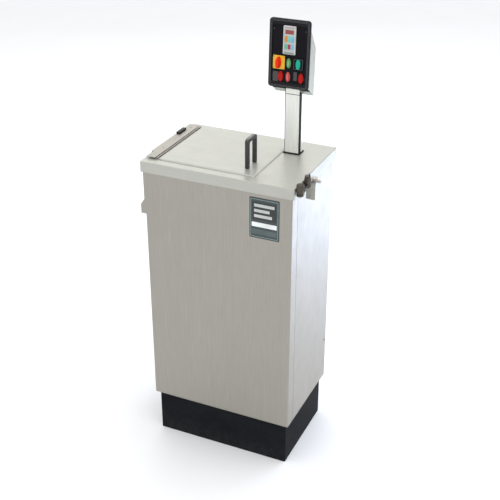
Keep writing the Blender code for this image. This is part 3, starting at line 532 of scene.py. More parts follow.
def make_fill_valve():
    """The water tap on the right: a fluted hand knob, a strainer bowl, and the inlet behind a bracket."""
    kx, ky = KNOB
    bx, by = BOWL
    collar = mm(
        (0, 0), (8.4, 0), (9, 0.4), (10.5, 1.5), (10.5, 3), (10, 3.3), (10, 3.8), (10.5, 4.1),
        (10.5, 6), (8.5, 7.5), (8.5, 9.5), (0, 9.5),
    )
    body = turned("fill_valve_body", collar, "Z", (kx, ky, 0.9745), "bronze", 36)
    bowl = mm(
        (0, 0), (6.2, 0), (8, 0.6), (9.8, 2.5), (9.8, 6), (9.2, 6.4), (9.2, 7.2), (9.8, 7.6), (9.8, 20),
        (9.2, 20.4), (9.2, 21.2), (9.8, 21.6), (9.8, 28), (8.6, 31), (8.6, 36.2), (8, 37), (0, 37),
    )
    nut = [(kx - 0.0006, ky + 0.024, 0.9807), (kx - 0.0008, ky + 0.032, 0.9817)]
    join(
        body,
        turned("valve_bowl", bowl, "Z", (bx, by, 0.977), sides=36),
        tube("valve_barrel", [(kx, ky + 0.006, 0.9786), (bx, by - 0.003, 0.9848)], 0.0044, sides=28),
        tube("valve_nut", nut, 0.0068, sides=6),
        cylinder("valve_vent", (bx + 0.0035, by + 0.0050), 0.0016, "Z", 1.005, 1.0190, sides=16),
    )
    cut(body, cylinder("valve_stem_bore", KNOB, 0.0030 + FIT, "Z", 0.9760, 1.05))

    base, flutes = KNOB_BOTTOM, 14
    grip = mm(
        (0, 0), (9.4, 0), (10.4, 0.6), (11.5, 1.8), (11.5, 4), (10.8, 4.6), (10.8, 5.6), (11.5, 6.2),
        (11.5, 22.5), (11, 24.4), (9.8, 26.2), (6.6, 26.2), (6, 25.6), (0, 25.6),
    )
    knob = turned("fill_valve_knob", grip, "Z", (kx, ky, base), "bronze", 48)
    for i, spot in enumerate(ellipse(KNOB, (0.0122, 0.0122), flutes)):
        cut(knob, cylinder(f"knob_flute_{i}", spot, 0.0013, "Z", base + 0.0078, base + 0.0360, sides=14))
    join(knob, cylinder("valve_stem", KNOB, 0.0030, "Z", 0.9770, base + 0.005, sides=28))

    x0, x1, y, t = WIDTH / 2 + GAP, 0.2790, by + 0.0160, SHEET
    outline = [(x0, y), (x1, y), (x1, y + t), (x0 + t, y + t), (x0 + t, y + 0.025), (x0, y + 0.025)]
    soften(prism("valve_bracket", outline, "Z", 0.9325, 0.9868, "steel_head"), 0.0004, 2)
    screw("bracket_screw", (0.2655, y + 0.0002, 0.9420), "-Y", 0.0032)
    inlet = box("fill_inlet", (0.2613, y + 0.0045, 0.9790), (0.2792, y + 0.0235, 0.9976), "cast_grey")
    soften(inlet, 0.0016, 3)
    join(inlet, cylinder("inlet_link", (bx + 0.0045, 0.9925), 0.0034, "Y", by + 0.0102, y + 0.008, sides=24))
    barbs = mm(
        (2.2, 0), (4.6, 0), (5.2, 4), (5.2, 4.5), (4.4, 4.8), (5, 8.8), (5, 9.2), (4, 12), (2.2, 12),
    )
    turned("hose_tail", barbs, "X", (0.2795, y + 0.0140, 0.9880), "cast_grey", 28)


def make_post():
    """The hollow post: its gasket, pale back, a dark band that is a painted reflection on its sides, and the
    two covers with a seam between them.
    """
    x0, x1 = post_low.x, post_high.x
    y0, y1 = post_low.y, post_high.y
    pad = rounded((x0 - 0.0035, y0 - 0.0035), (x1 + 0.0035, y1 + 0.0035), 0.004)
    gasket = prism("post_gasket", pad, "Z", HEIGHT + GAP, HEIGHT + 0.0024, "rubber")
    cut(gasket, box("gasket_passage", (x0 + 0.006, y0 + 0.006, 0.9), (x1 - 0.006, y1 - 0.006, 1.1)))
    soften(gasket, 0.0005, 2, 60)
    z, top = HEIGHT + 0.0024 + GAP, post_high.z - 0.001
    passage = box("post_passage", (x0 + WALL, y0 + 0.004, 0.9), (x1 - WALL, y1 - WALL, 1.4))
    body = rounded((x0, y0 + 0.0178), (x1, y1), 0.003)
    cut(prism("control_post", body, "Z", z, post_high.z, "pale_steel"), passage)
    # The dark band round the front of the post's sides is a painted reflection: the dark surroundings
    # mirrored in them, made as black rubber.
    band = rounded((x0 + 0.0001, y0 + 0.0006), (x1 - 0.0002, y0 + 0.0180), 0.0012)
    cut(prism("post_trim", band, "Z", z, top, "rubber"), passage)
    face = rounded((x0 + 0.0020, y0), (x1 - 0.0012, y0 + 0.003), 0.0012)
    for name, low, high in (("lower", z + 0.0016, POST_SEAM), ("upper", POST_SEAM + 0.0016, top)):
        soften(prism(f"post_cover_{name}", face, "Z", low, high, "pale_steel"), 0.0004, 2, 60)


def make_badge():
    """The name plate on the front, with a border and plain bands where a maker would print."""
    low, high = badge_low, badge_high
    wide, tall = high.x - low.x, high.z - low.z
    front = low.y + 0.0003
    tile("badge_plate", (low.x, low.z), (high.x, high.z), 0.003, front, high.y, "badge_dark", 0.0003)

    def print_on(name, u0, v0, u1, v1, surface, radius=0.0010, proud=0.00025):
        """A band between two places on the plate, each a share of its width and height."""
        a = (low.x + wide * u0, low.z + tall * v0)
        b = (low.x + wide * u1, low.z + tall * v1)
        return prism(name, rounded(a, b, radius, 4), "Y", front - proud, front + 0.0001, surface)

    border = print_on("badge_border", 0.035, 0.03, 0.965, 0.97, "print_grey", 0.0022)
    cut(border, print_on("badge_border_inside", 0.055, 0.045, 0.945, 0.955, None, 0.0018, 0.01))
    print_on("badge_field", 0.10, 0.46, 0.90, 0.90, "print_dark", 0.0015)
    for i, reach in enumerate((0.84, 0.68, 0.76)):
        v = 0.815 - 0.130 * i
        print_on(f"badge_bar_{i}", 0.16, v - 0.036, reach, v + 0.036, "case_grey", proud=0.0004)
    print_on("badge_band", 0.08, 0.285, 0.92, 0.395, "print_white")
    print_on("badge_strip", 0.08, 0.10, 0.92, 0.225, "print_teal")


def funnel(name, low, high, centre, bottom, top, foot):
    """A four-sided funnel from a rectangle in plan down to a small square."""
    small = rectangle((centre[0] - foot, centre[1] - foot), (centre[0] + foot, centre[1] + foot))
    return skin(name, [[(*p, bottom) for p in small], [(*p, top) for p in rectangle(low, high)]])


def make_tank():
    """The tank with its rim, sump and ports. Returns its centre in plan and its rear face."""
    low, high = corners(OPENING_X, OPENING_Y, 0.003)
    z0, z1 = TANK_BOTTOM, HEIGHT - SHEET - GAP
    centre = ((low[0] + high[0]) / 2, (low[1] + high[1]) / 2)
    tank = prism("inner_tank", rounded(low, high, 0.014), "Z", z0, z1, "steel_tank")
    join(
        tank,
        prism("tank_rim", opening(-0.012, 0.02), "Z", z1 - SHEET, z1),
        funnel("tank_sump", low, high, centre, z0 - SUMP_DEPTH, z0 + 0.001, 0.026),
        cylinder("tank_neck", centre, DRAIN_R, "Z", z0 - 0.060, z0 - 0.030),
    )
    inner_low, inner_high = corners(OPENING_X, OPENING_Y, 0.003 - WALL)
    right, back = high
    cut(
        tank,
        prism("tank_hollow", rounded(inner_low, inner_high, 0.012), "Z", z0 + WALL, z1 + 0.1),
        funnel("tank_funnel", inner_low, inner_high, centre, z0 + WALL - SUMP_DEPTH, z0 + 0.003, 0.024),
        cylinder("tank_drain", centre, DRAIN_R - WALL, "Z", z0 - 0.1, z0),
        cylinder("heater_port", (-0.040, HEATER_Z), 0.0105, "Y", back - 0.02, back + 0.02),
        cylinder("probe_port", (0.040, HEATER_Z), 0.0035, "Y", back - 0.02, back + 0.02),
        cylinder("fill_port", (0.100, 0.945), 0.0068, "X", right - 0.02, right + 0.02),
        cylinder("spray_port", (SPRAY_Y, SPRAY_Z), 0.0068, "X", right - 0.02, right + 0.02),
    )
    return centre, back


def make_cradle():
    """The angle frame inside the cabinet that carries the tank."""
    x, y, z = BODY_X - SHEET - GAP, BODY_Y - SHEET - GAP, 0.600
    cut(
        box("tank_cradle", (-x, -y, z), (x, y, z + 0.020), "steel_plain"),
        box("cradle_space", (-x + 0.060, -y + 0.020, z - 0.01), (x - 0.020, y - 0.020, z + 0.03)),
        box("cradle_under", (-x + WALL, -y + WALL, z - 0.01), (x - WALL, y - WALL, z + 0.018)),
    )


def make_heater(back):
    """The heater rod on its flange and the temperature probe, through the tank's rear wall."""
    y0, z = back + GAP, HEATER_Z
    run = [(-0.046, y0), (-0.046, -0.095), (0.0, -0.095), (0.0, 0.090), (-0.034, 0.115), (-0.034, y0)]
    tube("heater_element", bend([(a, b, z) for a, b in run], 0.008), 0.0033, "heater_sheath")
    flange = mm((0, 0), (20, 0), (20, 4), (14.5, 4), (14.5, 12), (0, 12))
    turned("heater_flange", flange, "Y", (-0.040, y0 + GAP, z), "steel_plain")
    probe = mm((0, 0), (9, 0), (9, -4), (3, -4), (3, -75), (0, -77))
    turned("temperature_probe", probe, "Y", (0.040, y0 + 0.004, z), "steel_plain", 32)


def make_basket(centre):
    """A slotted sheet basket whose end walls rise to hand grips, and the two rails it stands on."""
    cx, cy = centre
    low, high = (cx - BASKET_X, cy - BASKET_Y), (cx + BASKET_X, cy + BASKET_Y)
    (z0, z1), t = BASKET_Z, WALL
    basket = prism("parts_basket", rounded(low, high, 0.004), "Z", z0, z1, "steel_tank")
    for side, name in ((-1, "basket_grip_left"), (1, "basket_grip_right")):
        reach = (cx + side * BASKET_X, cx + side * (BASKET_X - t))
        grip = prism(name, rounded((cy - 0.050, z1 - 0.016), (cy + 0.050, z1 + 0.045), 0.010), "X", *reach)
        slot = rounded((cy - 0.036, z1 + 0.012), (cy + 0.036, z1 + 0.034), 0.0105)
        join(basket, cut(grip, prism(f"{name}_slot", slot, "X", cx - 0.2, cx + 0.2)))
    cuts = [box("basket_hollow", (low[0] + t, low[1] + t, z0 + t), (high[0] - t, high[1] - t, 1))]
    slots, pitch, half, radius = 7, 0.034, 0.008, 0.0078
    for i in range(slots):
        x = cx + (i - (slots - 1) / 2) * pitch
        floor_slot = rounded((x - half, low[1] + 0.02), (x + half, high[1] - 0.02), radius)
        wall_slot = rounded((x - half, z0 + 0.020), (x + half, z1 - 0.018), radius)
        cuts.append(prism(f"basket_floor_slot_{i}", floor_slot, "Z", 0.6, z0 + 0.01))
        cuts.append(prism(f"basket_wall_slot_{i}", wall_slot, "Y", low[1] - 0.02, high[1] + 0.02))
    soften(cut(basket, *cuts), 0.0004, 2)

    wall = (OPENING_Y[1] - OPENING_Y[0]) / 2 + 0.003 - WALL - GAP
    top, inner, foot = z0 - GAP, 0.100, z0 - GAP - 0.022
    angle = [(inner, top), (wall, top), (wall, foot), (wall - t, foot), (wall - t, top - t), (inner, top - t)]
    for side, name in ((-1, "basket_rail_front"), (1, "basket_rail_rear")):
        outline = [(cy + side * a, b) for a, b in angle]
        prism(name, outline, "X", cx - 0.134, cx + 0.134, "steel_tank")


def make_drain(centre):
    """The cup under the sump, the pipe to the back of the cabinet, and the valve with its lever."""
    cx, cy = centre
    z, neck = DRAIN_Z, TANK_BOTTOM - 0.060
    cup = mm((7.5, -22), (12.5, -22), (19.5, 0), (19.5, 20), (16.3, 20), (16.3, 0), (7.5, -4))
    turned("drain_cup", cup, "Z", (cx, cy, neck - GAP), "brass")
    run = [(cx, cy, neck - 0.0226), (cx, cy, z), (0.0, cy, z), (0.0, BODY_Y - 0.006, z)]
    tube("drain_pipe", bend(run, 0.020), 0.010, "steel_plain", 24, 0.0085)
    waist = mm(
        (7.5, 0), (17.5, 0), (17.5, 16), (14.5, 20), (14.5, 30), (17.5, 34), (17.5, 48), (7.5, 48),
    )
    body = turned("drain_valve_body", waist, "Y", (0.0, BODY_Y + 2 * GAP, z), "brass")
    stem = (0.0, BODY_Y + 0.0253)
    join(body, cylinder("drain_valve_boss", stem, 0.0075, "Z", z + 0.007, z + 0.023))
    cut(body, cylinder("drain_stem_bore", stem, 0.0030 + FIT, "Z", z + 0.013, z + 0.035))
    lever = cylinder("drain_valve_lever", stem, 0.0030, "Z", z + 0.0135, z + 0.028, "black_plastic")
    grip_low, grip_high = (-0.005, stem[1] - 0.005, z + 0.0245), (0.052, stem[1] + 0.005, z + 0.028)
    join(lever, box("drain_grip", grip_low, grip_high))


def make_pump():
    """The pump on the cabinet floor: its body, impeller and motor. Returns the height of its ports."""
    px, py = PUMP
    base = PLINTH_HEIGHT + WALL + GAP
    feet = base + 0.012
    port = (py, feet + 0.020)
    casing = mm((10.5, 40), (34, 40), (34, 0), (0, 0), (0, 4), (30, 4), (30, 36), (10.5, 36))
    volute = turned("pump_body", casing, "Z", (px, py, feet), "grey_plastic")
    join(
        volute,
        box("pump_foot", (px - 0.044, py - 0.030, base), (px + 0.044, py + 0.030, feet + 0.003)),
        cylinder("pump_outlet_boss", port, 0.010, "X", px + 0.030, px + 0.050),
        cylinder("pump_inlet_boss", port, 0.010, "X", px - 0.055, px - 0.030),
    )
    cut(
        volute,
        cylinder("pump_outlet_bore", port, 0.0075, "X", px + 0.020, px + 0.060),
        cylinder("pump_inlet_bore", port, 0.0075, "X", px - 0.060, px - 0.020),
    )
    wheel = mm((0, 6), (24, 6), (24, 18), (4, 18), (4, 60), (0, 60))
    impeller = turned("pump_impeller", wheel, "Z", (px, py, feet), "grey_plastic")
    for i in range(6):
        slot = box(f"vane_slot_{i}", (0.006, -0.0015, 0.009), (0.03, 0.0015, 0.03))
        slot.location = (px, py, feet)
        slot.rotation_euler = (0, 0, math.pi * i / 3)
        cut(impeller, slot)
    bore = 0.004 + FIT
    motor = [(bore, 0), (0.031, 0), (0.031, 0.095), (0.026, 0.100), (0, 0.100), (0, 0.024), (bore, 0.024)]
    turned("pump_motor", motor, "Z", (px, py, feet + 0.040 + GAP), "black_plastic")
    return port[1]


def make_pipes(centre, port_z):
    """The suction pipe, the delivery pipe up the right side, and the spray manifold in the tank."""
    cx, (px, py) = centre[0], PUMP
    inlet_x, riser_x, suction_z = px - 0.0553 - GAP, 0.200, 0.300
    run = [(inlet_x, port_z), (inlet_x - 0.05, port_z), (inlet_x - 0.05, suction_z), (cx, suction_z)]
    suction = bend([(x, py, z) for x, z in run], 0.016) + [Vector((cx - 0.02, py, suction_z))]
    tube("suction_pipe", suction, 0.009, "grey_plastic", 24, 0.0072)
    run = [(px + 0.0503 + GAP, py, port_z), (riser_x, py, port_z), (riser_x, SPRAY_Y, 0.34)]
    run += [(riser_x, SPRAY_Y, SPRAY_Z), (0.118, SPRAY_Y, SPRAY_Z)]
    tube("delivery_pipe", bend(run, 0.012), 0.0065, "grey_plastic", 24, 0.005)
    run = [(0.1167, SPRAY_Y), (0.084, SPRAY_Y), (0.084, -0.113), (-0.170, -0.113)]
    manifold = bend([(x, y, SPRAY_Z) for x, y in run], 0.012)
    tube("spray_manifold", manifold, 0.0062, "steel_plain", 24, 0.0048)


def make_float_switch():
    """The float switch on its bracket, and the float that slides on its stem."""
    x, y = FLOAT
    wall, top = 0.1387, 0.9163
    stem = mm((0, 0), (6.5, 0), (6.5, 2.6), (2.5, 2.6), (2.5, 66), (0, 66))
    join(
        turned("float_switch", stem, "Z", (x, y, 0.850), "steel_plain"),
        box("float_bracket", (x - 0.012, y - 0.012, top - WALL), (x + 0.012, wall, top)),
        box("float_bracket_back", (x - 0.012, 0.1370, 0.890), (x + 0.012, wall, top)),
    )
    bore = 0.0025 + FIT
    ball = [(bore, 0), (0.0105, 0), (0.0125, 0.002), (0.0125, 0.020), (0.0105, 0.022), (bore, 0.022)]
    turned("level_float", ball, "Z", (x, y, 0.853), "grey_plastic")


def oval(name, centre, width, height, start, end, surface=None):
    """An upright oval piece on the control face, from start to end along its depth."""
    return prism(name, ellipse(centre, (width / 2, height / 2), OVAL_SIDES), "Y", start, end, surface)


def stacked_oval(name, centre, width, height, levels, surface):
    """Upright ovals of the given size, each (inset, depth) in turn, skinned into one closed form."""
    rings = []
    for inset, y in levels:
        spots = ellipse(centre, (width / 2 - inset, height / 2 - inset), OVAL_SIDES)
        rings.append([(x, y, z) for x, z in spots])
    return skin(name, rings, surface)


def make_head():
    """The control head, modelled in its own tilted frame: x across, z up the face, -y towards the user."""
    half, depth, t = HEAD_WIDTH / 2, HEAD_DEPTH, SHEET
    shell_x, post_x = half - 0.0020, POST_WIDTH / 2 + GAP
    side = [(0.0063, 0.004), (0.0063, 0.178), (depth, 0.1135), (depth, -0.028)]
    shell = prism("control_enclosure", side, "X", -shell_x, shell_x, "steel_head")
    soften(shell, 0.0016, 3)
    inner = [(0.0, 0.0065), (0.0, 0.1758), (depth - t, 0.1122), (depth - t, -0.0255)]
    cut(
        shell,
        prism("enclosure_hollow", inner, "X", -shell_x + t, shell_x - t),
        box("enclosure_notch", (-post_x, 0.0290, -0.05), (post_x, 0.09, 0.0935)),
    )
    for i, (y, z) in enumerate(((0.012, 0.030), (0.012, 0.120), (0.044, 0.085), (0.044, 0.005))):
        screw(f"enclosure_screw_{i}", (shell_x - 0.0002, y, z), "+X", 0.0024)

    outer = rounded((-half, 0), (half, HEAD_HEIGHT), 0.009, 8)
    rim = prism("control_frame", outer, "Y", -0.003, 0.006, "panel_frame")
    soften(rim, 0.0012, 3)
    window = rounded((-0.0530, 0.0165), (0.0530, 0.1830), 0.006, 6)
    cut(rim, prism("frame_window", window, "Y", -0.02, 0.02))
    for i, inset in enumerate((0.0030, 0.0062)):
        radius, edge = 0.009 - inset / 2, inset + 0.0001
        low, high = (-half + inset, inset), (half - inset, HEAD_HEIGHT - inset)
        trim_low, trim_high = (-half + edge, edge), (half - edge, HEAD_HEIGHT - edge)
        cut(rim, ring(f"frame_groove_{i}", low, high, radius, 0.0009, "Y", -0.004, -0.0022))
        ring(f"frame_trim_{i}", trim_low, trim_high, radius, 0.0007, "Y", -0.0027, -0.0020, "trim_grey")
    window = rounded((-0.0527, 0.0168), (0.0527, 0.1827), 0.0057, 6)
    plate = prism("control_plate", window, "Y", -0.0005, 0.0025, "panel_plate")

    socket_x, front, back, wall = 0.034, depth + GAP, 0.0775, 0.003
    outline = [(-socket_x, front), (-socket_x, back), (socket_x, back), (socket_x, front)]
    outline += [(post_x, front), (post_x, back - wall), (-post_x, back - wall), (-post_x, front)]
    soften(prism("post_socket", outline, "Z", -0.026, 0.100, "steel_head"), 0.0006, 2, 60)

    for i, (side, share) in enumerate(((-1, 0.155), (1, 0.155), (-1, 0.845), (1, 0.845))):
        screw(f"panel_screw_{i}", (side * 0.0487, -0.0005, share * HEAD_HEIGHT), "-Y", 0.0021, "screw_dark")
    make_controls(plate)


def make_controls(plate):
    """Everything on the control face: buttons, lamps, isolator, temperature controller and labels."""
    flange = mm((-1.5, 8.5), (-1.5, 6.5), (0, 6.5))
    for name, centre, width, height, front, paint in (
        ("start", START, 0.0144, 0.0292, -0.0090, "cap_teal"),
        ("heat", HEAT, 0.0150, 0.0300, -0.0060, "cap_red"),
        ("stop", STOP, 0.0150, 0.0300, -0.0060, "cap_red"),
    ):
        dish = mm((0, 2.2), (0.4, 1), (1.3, 0.2), (2.2, 0), (3.2, 0.3), (5.2, 0.6))
        levels = flange + [(inset, front + depth) for inset, depth in dish]
        stacked_oval(f"{name}_button", centre, width, height, levels, paint)
        cut(plate, oval(f"{name}_hole", centre, width + 0.0008, height + 0.0008, *THROUGH))

    low, high, inset = (0.0155, 0.0580), (0.0455, 0.0902), 0.0013
    bezel = tile("start_button_bezel", low, high, 0.003, -0.0050, -0.0008, "panel_plate", 0.0010, 3)
    low, high = (low[0] + inset, low[1] + inset), (high[0] - inset, high[1] - inset)
    ring("start_bezel_trim", low, high, 0.0022, 0.0006, "Y", -0.0052, -0.0046, "trim_grey")
    cut(bezel, oval("bezel_hole", START, 0.0152, 0.0300, *THROUGH))

    levels = mm(
        (0, 6), (0, -2), (0.3, -3.2), (1, -4), (1.6, -4.3), (1.9, -3.9), (2.3, -4.7), (2.7, -4.3),
        (3.2, -5.1), (3.6, -4.7), (4.2, -5.4), (5.6, -5.5),
    )
    for name, centre, paint in (("running_lamp", RUNNING, "lens_green"), ("fault_lamp", FAULT, "lens_red")):
        stacked_oval(name, centre, 0.0142, 0.0288, levels, paint)
        rim = oval(f"{name}_rim", centre, 0.0172, 0.0318, -0.0019, -0.0006, "black_plastic")
        cut(rim, oval(f"{name}_rim_inside", centre, 0.0146, 0.0292, *THROUGH))
        soften(rim, 0.0005, 2, 60)
        cut(plate, oval(f"{name}_hole", centre, 0.0150, 0.0296, *THROUGH))

    make_isolator(plate)
    make_controller()
    for name, low, high in (
        ("heat_label", (-0.0488, 0.0125), (-0.0318, 0.0455)),
        ("stop_label", (0.0158, 0.0245), (0.0266, 0.0500)),
    ):
        tile(name, low, high, 0.0012, -0.0013, -0.0004, "label_grey", 0.0003)


def make_isolator(plate):
    """The yellow plate and the red rotary knob on it, with its spindle through both plates."""
    kx, kz = ISOLATOR
    low, high = (kx - 0.0183, kz - 0.0197), (kx + 0.0183, kz + 0.0197)
    yellow = tile("isolator_plate", low, high, 0.0022, -0.0028, -0.0008, "plate_yellow", 0.0006, 3)
    levels = mm(
        (0, -3.3), (0, -6), (0.6, -6.8), (1.6, -7.2), (2, -8.8), (2.2, -16.5), (2.6, -17.6),
        (3.4, -18.3), (4.4, -18.5),
    )
    knob = stacked_oval("isolator_knob", ISOLATOR, 0.0154, 0.0340, levels, "knob_red")
    pitch, grooves, spindle = 0.0040, 5, 0.0040
    for i, side in enumerate((-1, 1)):
        for k in range(grooves):
            spot = (kx + side * 0.0064, kz + (k - (grooves - 1) / 2) * pitch)
            cut(knob, cylinder(f"knob_groove_{i}_{k}", spot, 0.0007, "Y", -0.03, -0.0085, sides=12))
    join(knob, cylinder("isolator_spindle", ISOLATOR, spindle, "Y", -0.0050, 0.0150))
    for i, holed in enumerate((yellow, plate)):
        cut(holed, cylinder(f"isolator_bore_{i}", ISOLATOR, spindle + FIT, "Y", *THROUGH))
    low, high = (kx - 0.0007, -0.01849, kz + 0.0040), (kx + 0.0007, -0.0180, kz + 0.0118)
    box("knob_pointer", low, high, "print_white")
    for i, (x, z) in enumerate(((-1, -1), (1, -1), (-1, 1), (1, 1))):
        screw(f"isolator_screw_{i}", (kx + x * 0.0148, -0.0028, kz + z * 0.0160), "-Y", 0.0013, "screw_dark")


def make_controller():
    """A panel controller with a display, six keys and a lower strip, all without writing."""
    low, high = (-0.0182, 0.0998), (0.0198, 0.1813)
    unit = tile("temperature_controller", low, high, 0.0025, -0.0060, -0.0008, "case_grey", 0.0009, 3)
    cut(unit, box("controller_pocket", (-0.0145, -0.010, 0.1090), (0.0161, -0.0045, 0.1720)))
    for name, low, high, paint in (
        ("display", (-0.0122, -0.0056, 0.1578), (0.0138, -0.0050, 0.1694), "display"),
        ("keypad", (-0.0142, -0.0052, 0.1093), (0.0158, -0.0048, 0.1717), "membrane"),
    ):
        soften(box(f"controller_{name}", low, high, paint), 0.00012, 2)
    bands = (("stripe", 0.1738, 0.1785, "stripe_pink"), ("strip", 0.1012, 0.1068, "strip_grey"))
    for name, low, high, paint in bands:
        tile(f"controller_{name}", (-0.0150, low), (0.0166, high), 0.0006, -0.00615, -0.0055, paint, 0.0001)
    middle, digit_pitch, key_pitch, key_half = 0.0008, 0.0076, 0.0097, 0.0041
    for place in range(3):
        bars_of_eight(f"display_bars_{place}", middle + (place - 1) * digit_pitch, 0.1636)
    rows = (
        (0.1434, 0.00825, ("key_orange", "key_turquoise", "key_blue")),
        (0.1216, 0.00700, ("key_green", "key_crimson", "key_blue")),
    )
    for row, (z, reach, paints) in enumerate(rows):
        for column, paint in enumerate(paints):
            x = middle + (column - 1) * key_pitch
            low, high = (x - key_half, z - reach), (x + key_half, z + reach)
            tile(f"key_{row}_{column}", low, high, 0.0012, -0.0058, -0.0051, paint, 0.00025)


def bars_of_eight(name, x, z):
    """The seven bars of one display place, all of them dim."""
    wide, tall, thick = 0.0019, 0.0036, 0.0006
    upright = [(side * wide, half * tall / 2) for side in (-1, 1) for half in (-1, 1)]
    level = [(0, k * tall) for k in (-1, 0, 1)]
    whole = None
    for i, (dx, dz) in enumerate(upright + level):
        reach = (thick / 2, tall / 2 - thick * 0.7) if i < len(upright) else (wide - thick * 0.7, thick / 2)
        low = (x + dx - reach[0], -0.00572, z + dz - reach[1])
        high = (x + dx + reach[0], -0.00555, z + dz + reach[1])
        bar = box(f"{name}_{i}" if whole else name, low, high, None if whole else "segment")
        whole = join(whole, bar) if whole else bar


# Materials


def node(tree, kind, inputs=None, **settings):
    """A shader node with its settings and its inputs, each a value or another node's output."""
    added = tree.nodes.new("ShaderNode" + kind)
    for key, value in settings.items():
        setattr(added, key, value)
    put(tree, added, inputs or {})
    return added


def put(tree, added, inputs):
    """Sets a node's inputs, each to a value or to another node's output."""
    for key, value in inputs.items():
        if isinstance(value, bpy.types.NodeSocket):
            tree.links.new(value, added.inputs[key])
        else:
            added.inputs[key].default_value = value


def noise(tree, scale, stretch=(1, 1, 1), detail=4.0, roughness=0.55, offset=0.0):
    """Noise over the object, its cells 1/scale metres wide before stretching."""
    place = node(tree, "TexCoord").outputs["Object"]
    mapped = node(tree, "Mapping", {0: place, 1: (offset, offset, offset), 3: stretch})
    return node(tree, "TexNoise", {0: mapped.outputs[0], 2: scale, 3: detail, 4: roughness}).outputs[0]


def spread(tree, value, low, high, start=0.3, end=0.7):
    """Maps value from start..end onto low..high."""
    return node(tree, "MapRange", {0: value, 1: start, 2: end, 3: low, 4: high}).outputs[0]


def sums(tree, operation, a, b):
    return node(tree, "Math", {0: a, 1: b}, operation=operation).outputs[0]


def plus(tree, a, b):
    return sums(tree, "ADD", a, b)


def times(tree, a, b):
    return sums(tree, "MULTIPLY", a, b)


def tint(tree, factor, a, b):
    """The colour a turned into b by factor; each is a colour or an output."""
    mixed = node(tree, "Mix", data_type="RGBA", blend_type="MIX")
    colours = [value if isinstance(value, bpy.types.NodeSocket) else (*value, 1.0) for value in (a, b)]
    put(tree, mixed, {0: factor, 6: colours[0], 7: colours[1]})
    return mixed.outputs[2]


def shade(colour, factor, lift=0.0):
    return tuple(min(c * factor + lift, 1.0) for c in colour)


def bump(tree, height, distance, strength):
    return node(tree, "Bump", {"Height": height, "Distance": distance, "Strength": strength}).outputs[0]


def edge_wear_and_highlight(tree, base, radius, share, colour):
    """The base colour turned to another on edges and corners, broken up by noise: rubbed wear, and on brushed
    steel a painted edge highlight too.
    """
    round_normal = node(tree, "Bevel", {"Radius": radius}, samples=4).outputs[0]
    flat_normal = node(tree, "NewGeometry").outputs["Normal"]
    match = node(tree, "VectorMath", {0: round_normal, 1: flat_normal}, operation="DOT_PRODUCT")
    edge = spread(tree, sums(tree, "SUBTRACT", 1.0, match.outputs["Value"]), 0.0, 1.0, 0.02, 0.18)
    broken = times(tree, edge, spread(tree, noise(tree, 90), 0.15, 1.0, 0.35, 0.65))
    return tint(tree, times(tree, broken, share), base, colour)


def start_paint(name):
    paint = bpy.data.materials.new(name)
    paint.use_nodes = True
    return paint, paint.node_tree, paint.node_tree.nodes["Principled BSDF"]


def surface(tree, shader, colour, roughness, normal, more=None):
    put(tree, shader, {"Base Color": colour, "Roughness": roughness, "Normal": normal, **(more or {})})


def brushed(name, colour, grain, rough=0.36, cloud=0.05, metal=1.0):
    """Brushed stainless sheet; grain stretches the brush marks along one axis."""
    paint, tree, shader = start_paint(name)
    fine = noise(tree, 1400, grain, 3.0, 0.6)
    streak = noise(tree, 240, grain, 4.0, 0.6, 7.0)
    patch = noise(tree, 5, (1, 1, 1), 3.0, 0.5, 3.0)
    smudge = noise(tree, 26, (1, 1, 0.7), 5.0, 0.6, 11.0)
    scratch = spread(tree, noise(tree, 420, grain, 2.0, 0.4, 19.0), 0.0, 1.0, 0.70, 0.76)
    warm = tuple(c * f * 0.86 for c, f in zip(colour, (1.0, 0.985, 0.95)))
    base = tint(tree, spread(tree, fine, 0.0, 1.0), shade(colour, 0.88), shade(colour, 1.09))
    base = tint(tree, spread(tree, streak, 0.0, 0.20), base, shade(colour, 0.80))
    base = tint(tree, spread(tree, patch, 0.0, cloud * 4), base, warm)
    base = tint(tree, times(tree, scratch, 0.35), base, shade(colour, 1.35))
    # Paler edges on the sheet: wear, and a painted highlight along every edge.
    base = edge_wear_and_highlight(tree, base, 0.0012, 0.35, shade(colour, 1.3))
    roughness = spread(tree, fine, rough - 0.05, rough + 0.06)
    roughness = plus(tree, roughness, spread(tree, smudge, -0.03, 0.05, 0.35, 0.70))
    height = plus(tree, fine, times(tree, streak, 0.6))
    height = sums(tree, "SUBTRACT", height, times(tree, scratch, 0.5))
    surface(tree, shader, base, roughness, bump(tree, height, 0.00003, 0.6), {"Metallic": metal})
    return paint


def plain_metal(name, colour, rough=0.34, tarnish=None, amount=0.35):
    """A turned, cast or drawn metal part with fine tool marks and, where it has any, tarnish."""
    paint, tree, shader = start_paint(name)
    fine = noise(tree, 900, (1, 1, 1), 4.0, 0.6)
    patch = noise(tree, 60, (1, 1, 1), 5.0, 0.6, 5.0)
    base = tint(tree, spread(tree, fine, 0.0, 1.0), shade(colour, 0.86), shade(colour, 1.08))
    base = tint(tree, spread(tree, patch, 0.0, amount, 0.42, 0.68), base, tarnish or shade(colour, 0.7))
    base = edge_wear_and_highlight(tree, base, 0.0008, 0.55, shade(colour, 1.7, 0.03))
    roughness = plus(tree, spread(tree, patch, rough - 0.06, rough + 0.14), spread(tree, fine, -0.03, 0.03))
    surface(tree, shader, base, roughness, bump(tree, fine, 0.00004, 0.5), {"Metallic": 1.0})
    return paint


